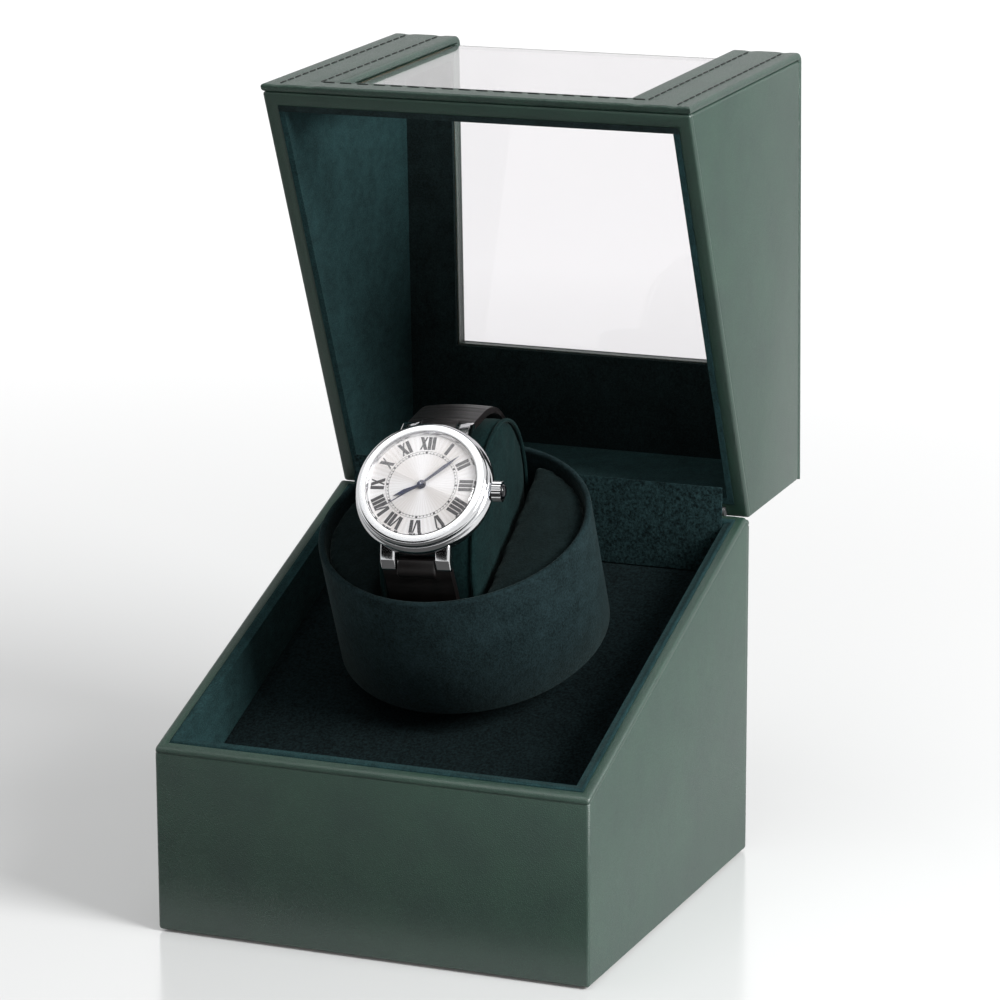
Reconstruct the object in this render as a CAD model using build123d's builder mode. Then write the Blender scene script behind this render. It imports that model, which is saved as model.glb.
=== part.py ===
from build123d import *
from math import acos, cos, pi, radians, sin, tan
import os

os.makedirs("parts", exist_ok=True)

# Watch winder box. Millimetres, +Z up, front towards -Y, origin at the base's bottom centre.
# The lid parts are modelled closed and then turned to the open rest pose about the hinge.

# ---- overall box
box_w = 130.0
box_d = 130.0
box_h = 152.0
front_h = 54.0                      # height of the base at the front
rear_h = 104.0                      # height of the base at the back
foot_h = 0.6                        # gap under the walls, left by the felt
half_w = box_w / 2
half_d = box_d / 2
rim_slope = (rear_h - front_h) / box_d

# ---- wall build-up
leather_t = 0.8
board_t = 3.4
wall_t = leather_t + board_t        # leather-wrapped board
liner_t = 1.8                       # suede-wrapped inner board
cavity_half = half_w - wall_t       # inner face of the side boards
cavity_half_d = half_d - wall_t     # inner face of the front and back boards
liner_half = cavity_half - liner_t
liner_half_d = cavity_half_d - liner_t
corner_r = 1.0

# ---- hinge
hinge_inset = 1.5                   # pin centre to back face
hinge_y = half_d - hinge_inset
hinge_z = rear_h - rim_slope * hinge_inset
lid_open_deg = 88.0
barrel_r = 1.5
pin_r = 0.7
pin_clear = 0.04
barrel_clear = 0.25
hinge_side = 7.0                    # outer end of each barrel in from the box's side
hinge_len = 28.0
knuckle_end = 7.0                   # length of each of a barrel's two outer knuckles
hinge_out = half_w - hinge_side     # from the middle
hinge_in = hinge_out - hinge_len
knuckle_in = hinge_in + knuckle_end
knuckle_out = hinge_out - knuckle_end
knuckle_gap = 0.1
barrel_end_gap = 0.2                # between a barrel's end and its groove
leaf_t = 1.0
leaf_len = 16.0
leaf_set_in = 0.9                   # leaf's front face ahead of the pin
leaf_y0 = hinge_y - leaf_set_in
leaf_y1 = leaf_y0 + leaf_t
leaf_gap = 0.05
rim_gap = 0.25                      # between the two rims when shut
heel_t = 0.6
chamfer_in = 4.5                    # rear rim chamfer, measured forward
chamfer_drop = 3.6                  # chamfer's height lost at the back face
chamfer_z = rear_h - chamfer_drop
heel_len = 2.5                      # stop heel, along the pin
heel_seat = 0.02                    # heel over the leather
leaf_over = 0.9                     # lower leaf's top edge over the chamfer's foot
heel_root = 0.1                     # heel's start below the leaf's top edge
heel_rise = 0.2                     # heel's top above it
heel_lead = 0.6                     # heel's underside over the chamfer's foot, at the leaf
root_h = 3.0                        # upper leaf's plate starts this far past the pin
pin_end = 5.0

# ---- window frame and pane on the lid
frame_t = 2.3
frame_r = 3.0
side_strip = 21.0
front_bar = 10.8
window_half = half_w - side_strip
rear_bar = 35.0                     # window's rear edge from the box's back
window_rear_y = half_d - rear_bar
window_low_z = front_h + front_bar
pane_t = 2.0
pane_lap = 4.0
pane_gap = 0.2
pane_seat = 0.05                    # between the pane's inner face and its rebate
pane_r = 3.5

over = 1.0                          # how far a cutter runs past a face
reach = 200.0                       # wider than the whole box

# ---- drum, tilted towards the front
drum_tilt = 23.0
drum_y = -3.3
drum_z = 110.8
drum_turn = 6.5                     # rest angle of the drum about its axis
cup_r = 39.2
cup_len = 39.0
suede_t = 0.5
shell_t = 0.9
cup_floor_t = 2.5
cup_edge = 0.6                      # chamfer round the cup's foot
cup_lip_r = 0.45
cup_bore_r = cup_r - 2 * suede_t - shell_t
pad_top = -33.3
pad_gap = 0.5
insert_top = -2.0
insert_r = 1.2
insert_corner_r = 2.0
slot_half = 15.4

# ---- deck and supports, heights measured along the drum axis from the cup's rim
deck_top = -46.8
deck_t = 4.0
deck_gap = 0.3
deck_hole_r = 12.0
apron_t = 0.6                       # suede board that hides the hinge, behind the drum
apron_gap = 0.5                     # between it and the back lining, for the opening lid
apron_side = 0.3
apron_seat = 0.25                   # its foot over the deck
apron_top = 112.0
apron_edge = 0.25
rail_step = 4.0
rail_w = 10.0
tap_r = 1.25                        # screw shank and the hole it cuts into
tap_over = 0.2
screw_head_r = 2.8
screw_head_t = 1.6
slot_share = 0.25                   # width of a screw's slot, in head radii
slot_deep = 0.45                    # depth of the slot, in head heights
hole_clear = 0.25
rail_screw_in = 7.0                 # screw's place in from the rail's outer face
drive_screw_v = -8.0
drive_grip = 12.0                   # screw's length inside the rail
plate_top = -63.0
plate_t = 3.0
plate_mid = -11.0
plate_len = 66.0
plate_r = 3.0
plate_gap = 0.3
boss_top = -61.2
boss_low = -76.0
boss_r = 10.0

# ---- drive
gear_m = 1.0
gear_teeth = 48
pinion_teeth = 14
centre_dist = gear_m * (gear_teeth + pinion_teeth) / 2
backlash = 0.25
pressure_deg = 20.0
addendum = 0.85
dedendum = 1.2
root_step = 0.02                    # least height of a flank's start above the root
lighten_r = 4.0
lighten_pitch_r = 14.5
lighten_count = 6
gear_top = -54.0
gear_low = -60.0
spindle_r = 4.0
run_clear = 0.04
bush_r = 6.0
bush_flange_r = 8.0
thrust_gap = 0.1
clip_t = 0.8
clip_gap = 0.1
clip_seat = 0.7                     # clip below the bush
clip_out = 2.5
neck_in = 0.8                       # depth of the clip's groove
clip_mouth = 4.4
spindle_tail = 5.0
spindle_edge = 0.5
hub_r = 20.0
hub_boss_r = 9.0
hub_t = 3.0
hub_skin = 1.5
pinion_shaft_r = 2.5
pinion_extra = 0.3
shaft_in = 5.0
motor_hole_r = 9.0
gearbox_r = 14.0
gearbox_len = 11.0
motor_r = 12.0
motor_len = 13.0
ear_x = 17.0
ear_r = 3.5
ear_t = 3.0
ear_head_r = 2.6

# ---- bottom
felt_t = 1.0
plate_z0 = felt_t
bottom_t = 3.6
bottom_gap = 0.2
sink_t = 1.6                        # depth of the screw heads' recesses
sink_r = 3.1
felt_hole_r = 3.4
base_head_t = 1.4
base_screw_in = 5.8                 # screw's place in from the rail's outer face
base_screw_x = cavity_half - base_screw_in
base_screw_y = 20.0
base_grip = 10.0

# ---- rear control plate
port_half_w = 22.0
port_z0 = 12.0
port_z1 = 32.0
port_mid = (port_z0 + port_z1) / 2
panel_gap = 0.2
jack_x = 12.0
jack_r = 3.9
jack_bore_r = 2.75
jack_depth = 10.0
jack_body_r = 5.4
jack_lip_r = 5.2
jack_lip_t = 0.5
jack_pin_r = 1.0
switch_x = -10.0
switch_w = 13.0
switch_h = 17.0
switch_lip = 1.0
switch_lip_t = 0.6
switch_fit = 0.1
rocker_w = 9.4
rocker_deg = 8.0
rocker_gap = 0.2
rocker_in = 2.8                     # rocker's pivot in from the back face
rocker_y = half_d - rocker_in
rocker_pin_r = 1.0
rocker_room = 7.0                   # half height of the recess round the rocker
rocker_well = 5.5
rocker_pin_clear = 0.05
rocker_heel = 2.2
rocker_root = 4.6
rocker_tip = 4.4
rocker_half = 5.6
rocker_dip = 3.0
rocker_keel = 3.6
pcb_in = 19.0                       # board's front face in from the back of the box
pcb_y = half_d - pcb_in
pcb_t = 1.6
pcb_half_w = 25.0
panel_flange = 4.0
panel_flange_t = 2.0
panel_set_in = 0.4
board_post_x = 20.5
board_post_r = 2.2
chip_x = 6.0
chip_z = 20.0
chip_w = 10.0
chip_t = 1.6
cap_x = -17.0
cap_z = 28.0
cap_r = 4.0
cap_h = 8.0
plug_x = -7.0                       # the motor's connector on the board
plug_w = 10.0
plug_t = 6.0
plug_z0 = 9.5
plug_z1 = 16.0
lead_r = 0.9
lead_out = 7.0
lead_via = ((-5.0, 15.0), (-6.5, 25.0))    # where the lead lies on the bottom
lead_lie = (0.7, 0.9)               # its centre over the bottom at those places

# ---- cushion and watch, heights along the dial's normal from the dial face
watch_tilt = 28.6
pivot_up = 26.2                     # dial centre above the cup's rim
pivot_fwd = 19.2                    # dial centre in front of the drum axis
case_r = 19.75
bezel_r = 16.1                      # bore of the case
bezel_top = 1.5
bezel_out = 17.2
bezel_edge = 0.2                    # height of the bezel's outer edge below its top
case_round = 1.15                   # how far the case's side falls in above and below its middle
case_foot = 5.15                    # how far the back is in from the widest place
case_turn = 0.4                     # side's lower turn above the case's floor
case_lip = -0.2                     # height where the side turns in to the bezel
case_floor = -6.4
case_back = -7.6
seat_r = 15.9                       # seat of dial and crystal
dial_r = 15.85
dial_t = 0.6
dial_hole_r = 1.0
crystal_z = 1.25
crystal_t = 0.75
movement_r = 15.6
stem_z = -3.0
stem_bore_r = 0.9
stem_r = 0.85
stem_in = 11.0
crown_r = 2.9
crown_t = 2.6
crown_gap = 0.15
cabochon_r = 1.9
cabochon_t = 0.9
crown_edge = 0.5
crystal_edge = 0.3
cushion_half_w = 14.8
cushion_half_l = 33.0
cushion_half_t = 26.0
cushion_y = 3.0
cushion_n = -34.2
cushion_r = 5.0
strap_w = 20.0
strap_t = 2.4
strap_half_l = 35.7
strap_half_t = 30.0
strap_n = -33.2
lug_gap_half = 5.8
lug_w = 4.2
lug_gap = 0.2
bar_r = 0.7
bar_fit = 0.05
strap_loop_r = 1.7
strap_in = 23.1                     # where the strap takes its full width
strap_root = 2.0                    # thickness of the strap where it meets the lugs
strap_leave_deg = (161.0, 36.6)     # where round the ring the strap runs straight up to the lugs
tongue_low_n = -11.2                # foot of each tongue between the lugs
tongue_high_n = -9.2
lug_shape = ((-4.8, 4.9), (-0.2, 2.7), (1.4, 0.3), (1.1, -1.3), (-1.4, -1.1), (-4.8, 0.3))
notch_l = 46.0                      # room for the lugs, across the strap's top
notch_h = 24.0
bar_y = 21.4
bar_n = -6.9
buckle_t = 1.6
buckle_w = 23.0
buckle_l = 10.0
buckle_wire = 1.8
prong_w = 1.6

# ---- hands: length, tail, width, lower and upper face, hub, post, degrees from twelve
hour_post_r = 0.75
minute_post_r = 0.5
second_post_r = 0.25
hand_specs = {
    "hour_hand": (8.4, 0.9, 1.3, 0.22, 0.42, 1.3, hour_post_r, 244),
    "minute_hand": (13.0, 1.5, 1.0, 0.55, 0.72, 1.0, minute_post_r, 48),
    "second_hand": (14.0, 3.5, 0.25, 0.88, 1.0, 0.7, second_post_r, 234),
}
post_steps = ((hour_post_r, 0.5), (minute_post_r, 0.85), (second_post_r, 1.1))
hand_root = 0.5                     # a hand's width at its hub
hand_belly = 0.62                   # where along a hand it is widest
tail_half = 0.15                    # half width of a hand's tail


def spun(plane, deg):
    """The same plane turned about its own normal."""
    return Plane(plane.location * Location((0, 0, 0), (0, 0, deg)))


t = radians(drum_tilt)
drum = Plane(origin=(0, drum_y, drum_z), x_dir=(1, 0, 0), z_dir=(0, -sin(t), cos(t)))
turned = spun(drum, drum_turn)
w = radians(watch_tilt)
dial_centre = turned.origin + turned.z_dir * pivot_up - turned.y_dir * pivot_fwd
dial_normal = turned.z_dir * cos(w) - turned.y_dir * sin(w)
watch = Plane(origin=dial_centre, x_dir=turned.x_dir, z_dir=dial_normal)
hinge_line = Location((0, hinge_y, hinge_z))
open_pose = hinge_line * Location((0, 0, 0), (-lid_open_deg, 0, 0)) * hinge_line.inverse()


def rim(y):
    """Height of the slanted rim plane at y."""
    return front_h + rim_slope * (y + half_d)


def lid_rim(y):
    """Height of the lid's own rim at y, with the lid shut."""
    return rim(y) + rim_gap


def save(part, label, moved=None):
    body = part if moved is None else part.moved(moved)
    body.label = label
    export_step(body, "parts/" + label + ".step")


def side_block(points, inset, width):
    """Solid of a side outline in YZ, inset on every edge, spread to both sides."""
    with BuildPart() as block:
        with BuildSketch(Plane.YZ):
            with BuildLine():
                Polyline(*points, close=True)
            make_face()
            if inset:
                offset(amount=-inset, kind=Kind.INTERSECTION)
        extrude(amount=width, both=True)
    return block.part


def box_at(x0, x1, y0, y1, z0, z1):
    """Box between two corners, as a part to be added or cut."""
    with BuildPart() as block:
        with Locations(((x0 + x1) / 2, (y0 + y1) / 2, (z0 + z1) / 2)):
            Box(x1 - x0, y1 - y0, z1 - z0)
    return block.part


def disc(plane, x, y, r, z0, z1):
    """Cylinder standing on `plane` between two heights."""
    with BuildPart() as block:
        with BuildSketch(plane.offset(z0)):
            with Locations((x, y)):
                Circle(r)
        extrude(amount=z1 - z0)
    return block.part


def plate_on(plane, x, y, width, length, z0, z1):
    """Rectangular block standing on `plane` between two heights."""
    with BuildPart() as block:
        with BuildSketch(plane.offset(z0)):
            with Locations((x, y)):
                Rectangle(width, length)
        extrude(amount=z1 - z0)
    return block.part


def rod_x(x0, x1, y, z, r):
    """Cylinder lying along X."""
    with BuildPart() as block:
        with BuildSketch(Plane.YZ.offset(x0)):
            with Locations((y, z)):
                Circle(r)
        extrude(amount=x1 - x0)
    return block.part


def rod_y(x, z, y0, y1, r):
    """Cylinder lying along Y."""
    with BuildPart() as block:
        with BuildSketch(Plane.XZ.offset(-y0)):
            with Locations((x, z)):
                Circle(r)
        extrude(amount=-(y1 - y0))
    return block.part


def slab(z0, z1):
    """All of the box's space between two heights along the drum axis."""
    return plate_on(drum, 0, 0, 2 * reach, 2 * reach, z0, z1)


def spread(a, b):
    """Two numbers in rising order."""
    return min(a, b), max(a, b)


# ------------------------------------------------------------------ base carcass
base_side = [(-half_d, foot_h), (half_d, foot_h), (half_d, chamfer_z),
             (half_d - chamfer_in, rim(half_d - chamfer_in)), (-half_d, front_h)]
base_cavity = box_at(-cavity_half, cavity_half, -cavity_half_d, cavity_half_d, -over, box_h)
port_cut = box_at(-port_half_w, port_half_w, cavity_half_d - over, half_d + over, port_z0, port_z1)
leaf_low = hinge_z - leaf_len
barrel_room = barrel_r + barrel_clear
barrel_cut = []
lower_slots = []
upper_slots = []
for s in (-1, 1):
    barrel_span = spread(s * (hinge_in - barrel_end_gap), s * (hinge_out + barrel_end_gap))
    barrel_cut.append(rod_x(*barrel_span, hinge_y, hinge_z, barrel_room))
    heel_span = spread(s * (hinge_in - heel_len - leaf_gap), s * (hinge_out + heel_len + leaf_gap))
    lower_slots.append(box_at(*heel_span, leaf_y0 - leaf_gap, leaf_y1 + leaf_gap,
                              leaf_low - leaf_gap, hinge_z + root_h))
    upper_slots.append(box_at(*spread(s * (hinge_in - leaf_gap), s * (hinge_out + leaf_gap)),
                              leaf_y0 - leaf_gap, leaf_y1 + leaf_gap, hinge_z - root_h,
                              hinge_z + leaf_len + leaf_gap))

with BuildPart() as base_board:
    add(side_block(base_side, leather_t, half_w - leather_t))
    for cutter in [base_cavity, port_cut] + barrel_cut + lower_slots:
        add(cutter, mode=Mode.SUBTRACT)
save(base_board.part, "base_board")

with BuildPart() as base_cover:
    add(side_block(base_side, 0, half_w))
    upright = base_cover.edges().filter_by(Axis.Z).filter_by(lambda e: abs(e.center().X) > cavity_half)
    fillet(upright, corner_r)
    add(side_block(base_side, leather_t, half_w - leather_t), mode=Mode.SUBTRACT)
    for cutter in [base_cavity, port_cut] + barrel_cut + lower_slots:
        add(cutter, mode=Mode.SUBTRACT)
save(base_cover.part, "base_cover")

# suede-wrapped inner boards, from the rim down to the deck's underside
deck_low = deck_top - deck_t
with BuildPart() as base_liner:
    add(side_block([(-cavity_half_d, plate_z0 + bottom_t), (cavity_half_d, plate_z0 + bottom_t),
                    (cavity_half_d, rim(cavity_half_d)), (-cavity_half_d, rim(-cavity_half_d))],
                   0, cavity_half))
    add(box_at(-liner_half, liner_half, -liner_half_d, liner_half_d, -over, box_h), mode=Mode.SUBTRACT)
    add(slab(deck_low - reach, deck_low), mode=Mode.SUBTRACT)
    for cutter in barrel_cut:
        add(cutter, mode=Mode.SUBTRACT)
save(base_liner.part, "base_liner")

# ------------------------------------------------------------------ deck and rails
deck_half = liner_half - deck_gap
deck_half_d = liner_half_d - deck_gap
with BuildPart() as deck:
    add(plate_on(drum, 0, 0, 2 * deck_half, 2 * reach, deck_low, deck_top))
    add(box_at(-half_w, half_w, -deck_half_d, deck_half_d, 0, box_h), mode=Mode.INTERSECT)
    add(disc(drum, 0, 0, deck_hole_r, deck_low - over, deck_top + over), mode=Mode.SUBTRACT)
save(deck.part, "deck")

apron_half = liner_half - apron_side
apron_rear = liner_half_d - apron_gap
with BuildPart() as hinge_apron:
    add(box_at(-apron_half, apron_half, apron_rear - apron_t, apron_rear, 0, apron_top))
    add(slab(deck_low - reach, deck_top + apron_seat), mode=Mode.SUBTRACT)
    upper = hinge_apron.faces().sort_by(Axis.Z)[-1].edges().filter_by(Axis.X)
    fillet(upper, apron_edge)
save(hinge_apron.part, "hinge_apron")

plate_low = plate_top - plate_t
bottom_top = plate_z0 + bottom_t
rail_screw_x = cavity_half - rail_screw_in
for s, name in ((-1, "rail_left"), (1, "rail_right")):
    with BuildPart() as rail:
        add(box_at(*spread(s * cavity_half, s * (cavity_half - rail_w)), -cavity_half_d, cavity_half_d,
                   bottom_top, box_h))
        add(slab(deck_low, reach), mode=Mode.SUBTRACT)
        step_x = s * (cavity_half - rail_step - reach / 2)
        add(plate_on(drum, step_x, 0, reach, 2 * reach, plate_low, reach), mode=Mode.SUBTRACT)
        add(disc(drum, s * rail_screw_x, drive_screw_v, tap_r, plate_low - drive_grip - tap_over, 0),
            mode=Mode.SUBTRACT)
        add(disc(Plane.XY, s * base_screw_x, base_screw_y, tap_r, 0, bottom_top + base_grip + tap_over),
            mode=Mode.SUBTRACT)
    save(rail.part, name)

# ------------------------------------------------------------------ bottom plate, felt, screws
bottom_w = 2 * (cavity_half - bottom_gap)
bottom_d = 2 * (cavity_half_d - bottom_gap)
base_screws = [(-base_screw_x, base_screw_y), (base_screw_x, base_screw_y)]
with BuildPart() as bottom_plate:
    with BuildSketch(Plane.XY.offset(plate_z0)):
        Rectangle(bottom_w, bottom_d)
        with Locations(*base_screws):
            Circle(tap_r + hole_clear, mode=Mode.SUBTRACT)
    extrude(amount=bottom_t)
    for x, y in base_screws:
        add(disc(Plane.XY, x, y, sink_r, 0, plate_z0 + sink_t), mode=Mode.SUBTRACT)
save(bottom_plate.part, "bottom_plate")

with BuildPart() as base_felt:
    with BuildSketch():
        Rectangle(bottom_w, bottom_d)
        with Locations(*base_screws):
            Circle(felt_hole_r, mode=Mode.SUBTRACT)
    extrude(amount=felt_t)
save(base_felt.part, "base_felt")


def screw_on(plane, x, y, head_z, head_t, length, head_r=screw_head_r):
    """Round-headed screw: head above head_z, shank below, with a driver slot."""
    with BuildPart() as screw:
        with BuildSketch(plane.offset(head_z)):
            with Locations((x, y)):
                Circle(head_r)
        extrude(amount=head_t)
        with BuildSketch(plane.offset(head_z)):
            with Locations((x, y)):
                Circle(tap_r)
        extrude(amount=-length)
        with BuildSketch(plane.offset(head_z + head_t)):
            with Locations((x, y)):
                Rectangle(3 * head_r, head_r * slot_share)
        extrude(amount=-head_t * slot_deep, mode=Mode.SUBTRACT)
    return screw.part


under = Plane(origin=(0, 0, plate_z0 + sink_t), x_dir=(1, 0, 0), z_dir=(0, 0, -1))
for s, side in ((-1, "left"), (1, "right")):
    save(screw_on(under, s * base_screw_x, -base_screw_y, 0, base_head_t, bottom_t - sink_t + base_grip),
         "plate_screw_" + side)
    save(screw_on(drum, s * rail_screw_x, drive_screw_v, plate_top, screw_head_t, plate_t + drive_grip),
         "drive_screw_" + side)

# ------------------------------------------------------------------ drive plate, bush, gearmotor
motor_v = -centre_dist
with BuildPart() as drive_plate:
    with BuildSketch(drum.offset(plate_low)):
        with Locations((0, plate_mid)):
            RectangleRounded(2 * (cavity_half - rail_step - plate_gap), plate_len, plate_r)
        with Locations((0, motor_v)):
            Circle(motor_hole_r, mode=Mode.SUBTRACT)
        with Locations((-ear_x, motor_v), (ear_x, motor_v)):
            Circle(tap_r + hole_clear, mode=Mode.SUBTRACT)
        with Locations((-rail_screw_x, drive_screw_v), (rail_screw_x, drive_screw_v)):
            Circle(tap_r + hole_clear, mode=Mode.SUBTRACT)
    extrude(amount=plate_t)
    add(disc(drum, 0, 0, boss_r, boss_low, boss_top))
    add(disc(drum, 0, 0, bush_r, boss_low - over, boss_top + over), mode=Mode.SUBTRACT)
save(drive_plate.part, "drive_plate")

with BuildPart() as spindle_bush:
    add(disc(drum, 0, 0, bush_r, boss_low, boss_top))
    add(disc(drum, 0, 0, bush_flange_r, boss_top, gear_low - thrust_gap))
    add(disc(drum, 0, 0, spindle_r + run_clear, boss_low - over, gear_low + over), mode=Mode.SUBTRACT)
save(spindle_bush.part, "spindle_bush")

gearbox_low = plate_low - gearbox_len
motor_low = gearbox_low - motor_len
with BuildPart() as gearmotor:
    add(disc(drum, 0, motor_v, gearbox_r, gearbox_low, plate_low))
    add(disc(drum, 0, motor_v, motor_r, motor_low, gearbox_low))
    for s in (-1, 1):
        add(disc(drum, s * ear_x, motor_v, ear_r, plate_low - ear_t, plate_low))
        add(disc(drum, s * ear_x, motor_v, tap_r, plate_low - ear_t - over, plate_low + over),
            mode=Mode.SUBTRACT)
    shaft_low = plate_low - shaft_in
    add(disc(drum, 0, motor_v, pinion_shaft_r + run_clear, shaft_low - tap_over, plate_low + over),
        mode=Mode.SUBTRACT)
save(gearmotor.part, "gearmotor")
for s, side in ((-1, "left"), (1, "right")):
    motor_screw = screw_on(drum, s * ear_x, motor_v, plate_top, screw_head_t,
                           plate_t + ear_t - thrust_gap, ear_head_r)
    save(motor_screw, "motor_screw_" + side)


# ------------------------------------------------------------------ gears
def gear_outline(teeth, first_deg):
    """Closed point loop of an involute gear with a tooth centred at first_deg."""
    pitch_r = gear_m * teeth / 2
    base_r = pitch_r * cos(radians(pressure_deg))
    tip_r = pitch_r + addendum * gear_m
    root_r = pitch_r - dedendum * gear_m
    half_at_pitch = (pi * gear_m / 2 - backlash) / 2 / pitch_r

    def inv(r):
        a = acos(min(1.0, base_r / r))
        return tan(a) - a

    low_r = max(base_r, root_r + root_step)
    radii = [low_r, (low_r + pitch_r) / 2, pitch_r, (pitch_r + tip_r) / 2, tip_r]
    flank = [(r, half_at_pitch + inv(pitch_r) - inv(r)) for r in radii]
    points = []
    for k in range(teeth):
        mid = radians(first_deg) + 2 * pi * k / teeth
        tooth = [(root_r, -flank[0][1])] + [(r, -a) for r, a in flank]
        tooth += [(r, a) for r, a in reversed(flank)] + [(root_r, flank[0][1])]
        points += [(r * cos(mid + a), r * sin(mid + a)) for r, a in tooth]
    return points


def gear_at(teeth, y, first_deg, z0, z1):
    """Gear centred at (0, y) of the drum plane."""
    with BuildPart() as wheel:
        with BuildSketch(drum.offset(z0)):
            with BuildLine():
                Polyline(*[(px, py + y) for px, py in gear_outline(teeth, first_deg)], close=True)
            make_face()
        extrude(amount=z1 - z0)
    return wheel.part


with BuildPart() as drum_gear:
    add(gear_at(gear_teeth, 0, 0, gear_low, gear_top))
    add(disc(drum, 0, 0, spindle_r, gear_low - over, gear_top + over), mode=Mode.SUBTRACT)
    with BuildSketch(drum.offset(gear_low)):
        with PolarLocations(lighten_pitch_r, lighten_count):
            Circle(lighten_r)
    extrude(amount=gear_top - gear_low, mode=Mode.SUBTRACT)
save(drum_gear.part, "drum_gear")

with BuildPart() as pinion:
    add(gear_at(pinion_teeth, motor_v, 90 + 180 / pinion_teeth,
                gear_low - pinion_extra, gear_top + pinion_extra))
    add(disc(drum, 0, motor_v, pinion_shaft_r, shaft_low, gear_low))
save(pinion.part, "pinion")

# ------------------------------------------------------------------ spindle, hub, clip
up_axis = Axis(drum.origin, drum.z_dir)
clip_z = boss_low - clip_seat - clip_t
spindle_top = -cup_len - hub_skin
with BuildPart() as spindle:
    add(disc(drum, 0, 0, spindle_r, boss_low - spindle_tail, spindle_top))
    with BuildSketch(drum.offset(clip_z - clip_gap)):
        Circle(spindle_r + over)
        Circle(spindle_r - neck_in, mode=Mode.SUBTRACT)
    extrude(amount=clip_t + 2 * clip_gap, mode=Mode.SUBTRACT)
    chamfer(spindle.faces().sort_by(up_axis)[0].edges(), spindle_edge)
save(spindle.part, "spindle")

with BuildPart() as retaining_clip:
    with BuildSketch(drum.offset(clip_z)):
        Circle(spindle_r + clip_out)
        Circle(spindle_r - neck_in, mode=Mode.SUBTRACT)
        with Locations((0, -spindle_r - over)):
            Rectangle(clip_mouth, 2 * (spindle_r + over), mode=Mode.SUBTRACT)
    extrude(amount=clip_t)
save(retaining_clip.part, "retaining_clip")

with BuildPart() as hub:
    add(disc(drum, 0, 0, hub_r, -cup_len - hub_t, -cup_len))
    add(disc(drum, 0, 0, hub_boss_r, gear_top, -cup_len - hub_t))
    add(disc(drum, 0, 0, spindle_r, gear_top - over, spindle_top), mode=Mode.SUBTRACT)
save(hub.part, "hub")

# ------------------------------------------------------------------ cup
floor_top = -cup_len + cup_floor_t
with BuildPart() as cup_floor:
    add(disc(drum, 0, 0, cup_r - suede_t, -cup_len, floor_top))
    chamfer(cup_floor.faces().sort_by(up_axis)[0].edges(), cup_edge)
save(cup_floor.part, "cup_floor")

with BuildPart() as cup_wall:
    with BuildSketch(drum.offset(floor_top)):
        Circle(cup_r - suede_t)
        Circle(cup_bore_r + suede_t, mode=Mode.SUBTRACT)
    extrude(amount=-suede_t - floor_top)
save(cup_wall.part, "cup_wall")

with BuildPart() as cup_cover:
    add(disc(drum, 0, 0, cup_r, -cup_len, 0))
    chamfer(cup_cover.faces().sort_by(up_axis)[0].edges(), cup_edge)
    add(disc(drum, 0, 0, cup_bore_r, floor_top, over), mode=Mode.SUBTRACT)
    fillet(cup_cover.faces().sort_by(up_axis)[-1].edges(), cup_lip_r)
    add(cup_floor.part, mode=Mode.SUBTRACT)
    add(cup_wall.part, mode=Mode.SUBTRACT)
    add(disc(drum, 0, 0, cup_r - suede_t - cup_edge, -cup_len - over, -cup_len + over), mode=Mode.SUBTRACT)
save(cup_cover.part, "cup_cover")

with BuildPart() as floor_pad:
    add(disc(drum, 0, 0, cup_bore_r - pad_gap, floor_top, pad_top))
save(floor_pad.part, "floor_pad")

for name, turn in (("insert_left", drum_turn), ("insert_right", drum_turn + 180)):
    with BuildPart() as insert:
        with BuildSketch(spun(drum, turn).offset(pad_top)) as outline:
            Circle(cup_bore_r - pad_gap)
            with Locations((cup_r - slot_half, 0)):
                Rectangle(2 * cup_r, 2 * cup_r, mode=Mode.SUBTRACT)
            fillet(outline.vertices(), insert_corner_r)
        extrude(amount=insert_top - pad_top)
        fillet(insert.faces().sort_by(up_axis)[-1].edges(), insert_r)
    save(insert.part, name)

# ------------------------------------------------------------------ rear control plate
panel_in = cavity_half_d - panel_flange_t
with BuildPart() as rear_panel:
    add(box_at(-port_half_w + panel_gap, port_half_w - panel_gap, cavity_half_d, half_d - panel_set_in,
               port_z0 + panel_gap, port_z1 - panel_gap))
    add(box_at(-port_half_w - panel_flange, port_half_w + panel_flange, panel_in, cavity_half_d,
               port_z0 - panel_flange, port_z1 + panel_flange))
    for x in (-board_post_x, board_post_x):
        add(rod_y(x, port_z0 + board_post_r, pcb_y + pcb_t, panel_in, board_post_r))
    add(rod_y(jack_x, port_mid, panel_in - over, half_d + over, jack_r), mode=Mode.SUBTRACT)
    add(box_at(switch_x - switch_w / 2, switch_x + switch_w / 2, panel_in - over, half_d + over,
               port_mid - switch_h / 2, port_mid + switch_h / 2), mode=Mode.SUBTRACT)
save(rear_panel.part, "rear_panel")

with BuildPart() as control_board:
    add(box_at(-pcb_half_w, pcb_half_w, pcb_y, pcb_y + pcb_t, port_z0 - panel_flange, port_z1 + panel_flange))
    add(box_at(chip_x, chip_x + chip_w, pcb_y - chip_t, pcb_y, chip_z, chip_z + chip_w))
    add(box_at(plug_x - plug_w / 2, plug_x + plug_w / 2, pcb_y - plug_t, pcb_y, plug_z0, plug_z1))
    add(rod_y(cap_x, cap_z, pcb_y - cap_h, pcb_y, cap_r))
save(control_board.part, "control_board")

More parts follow.
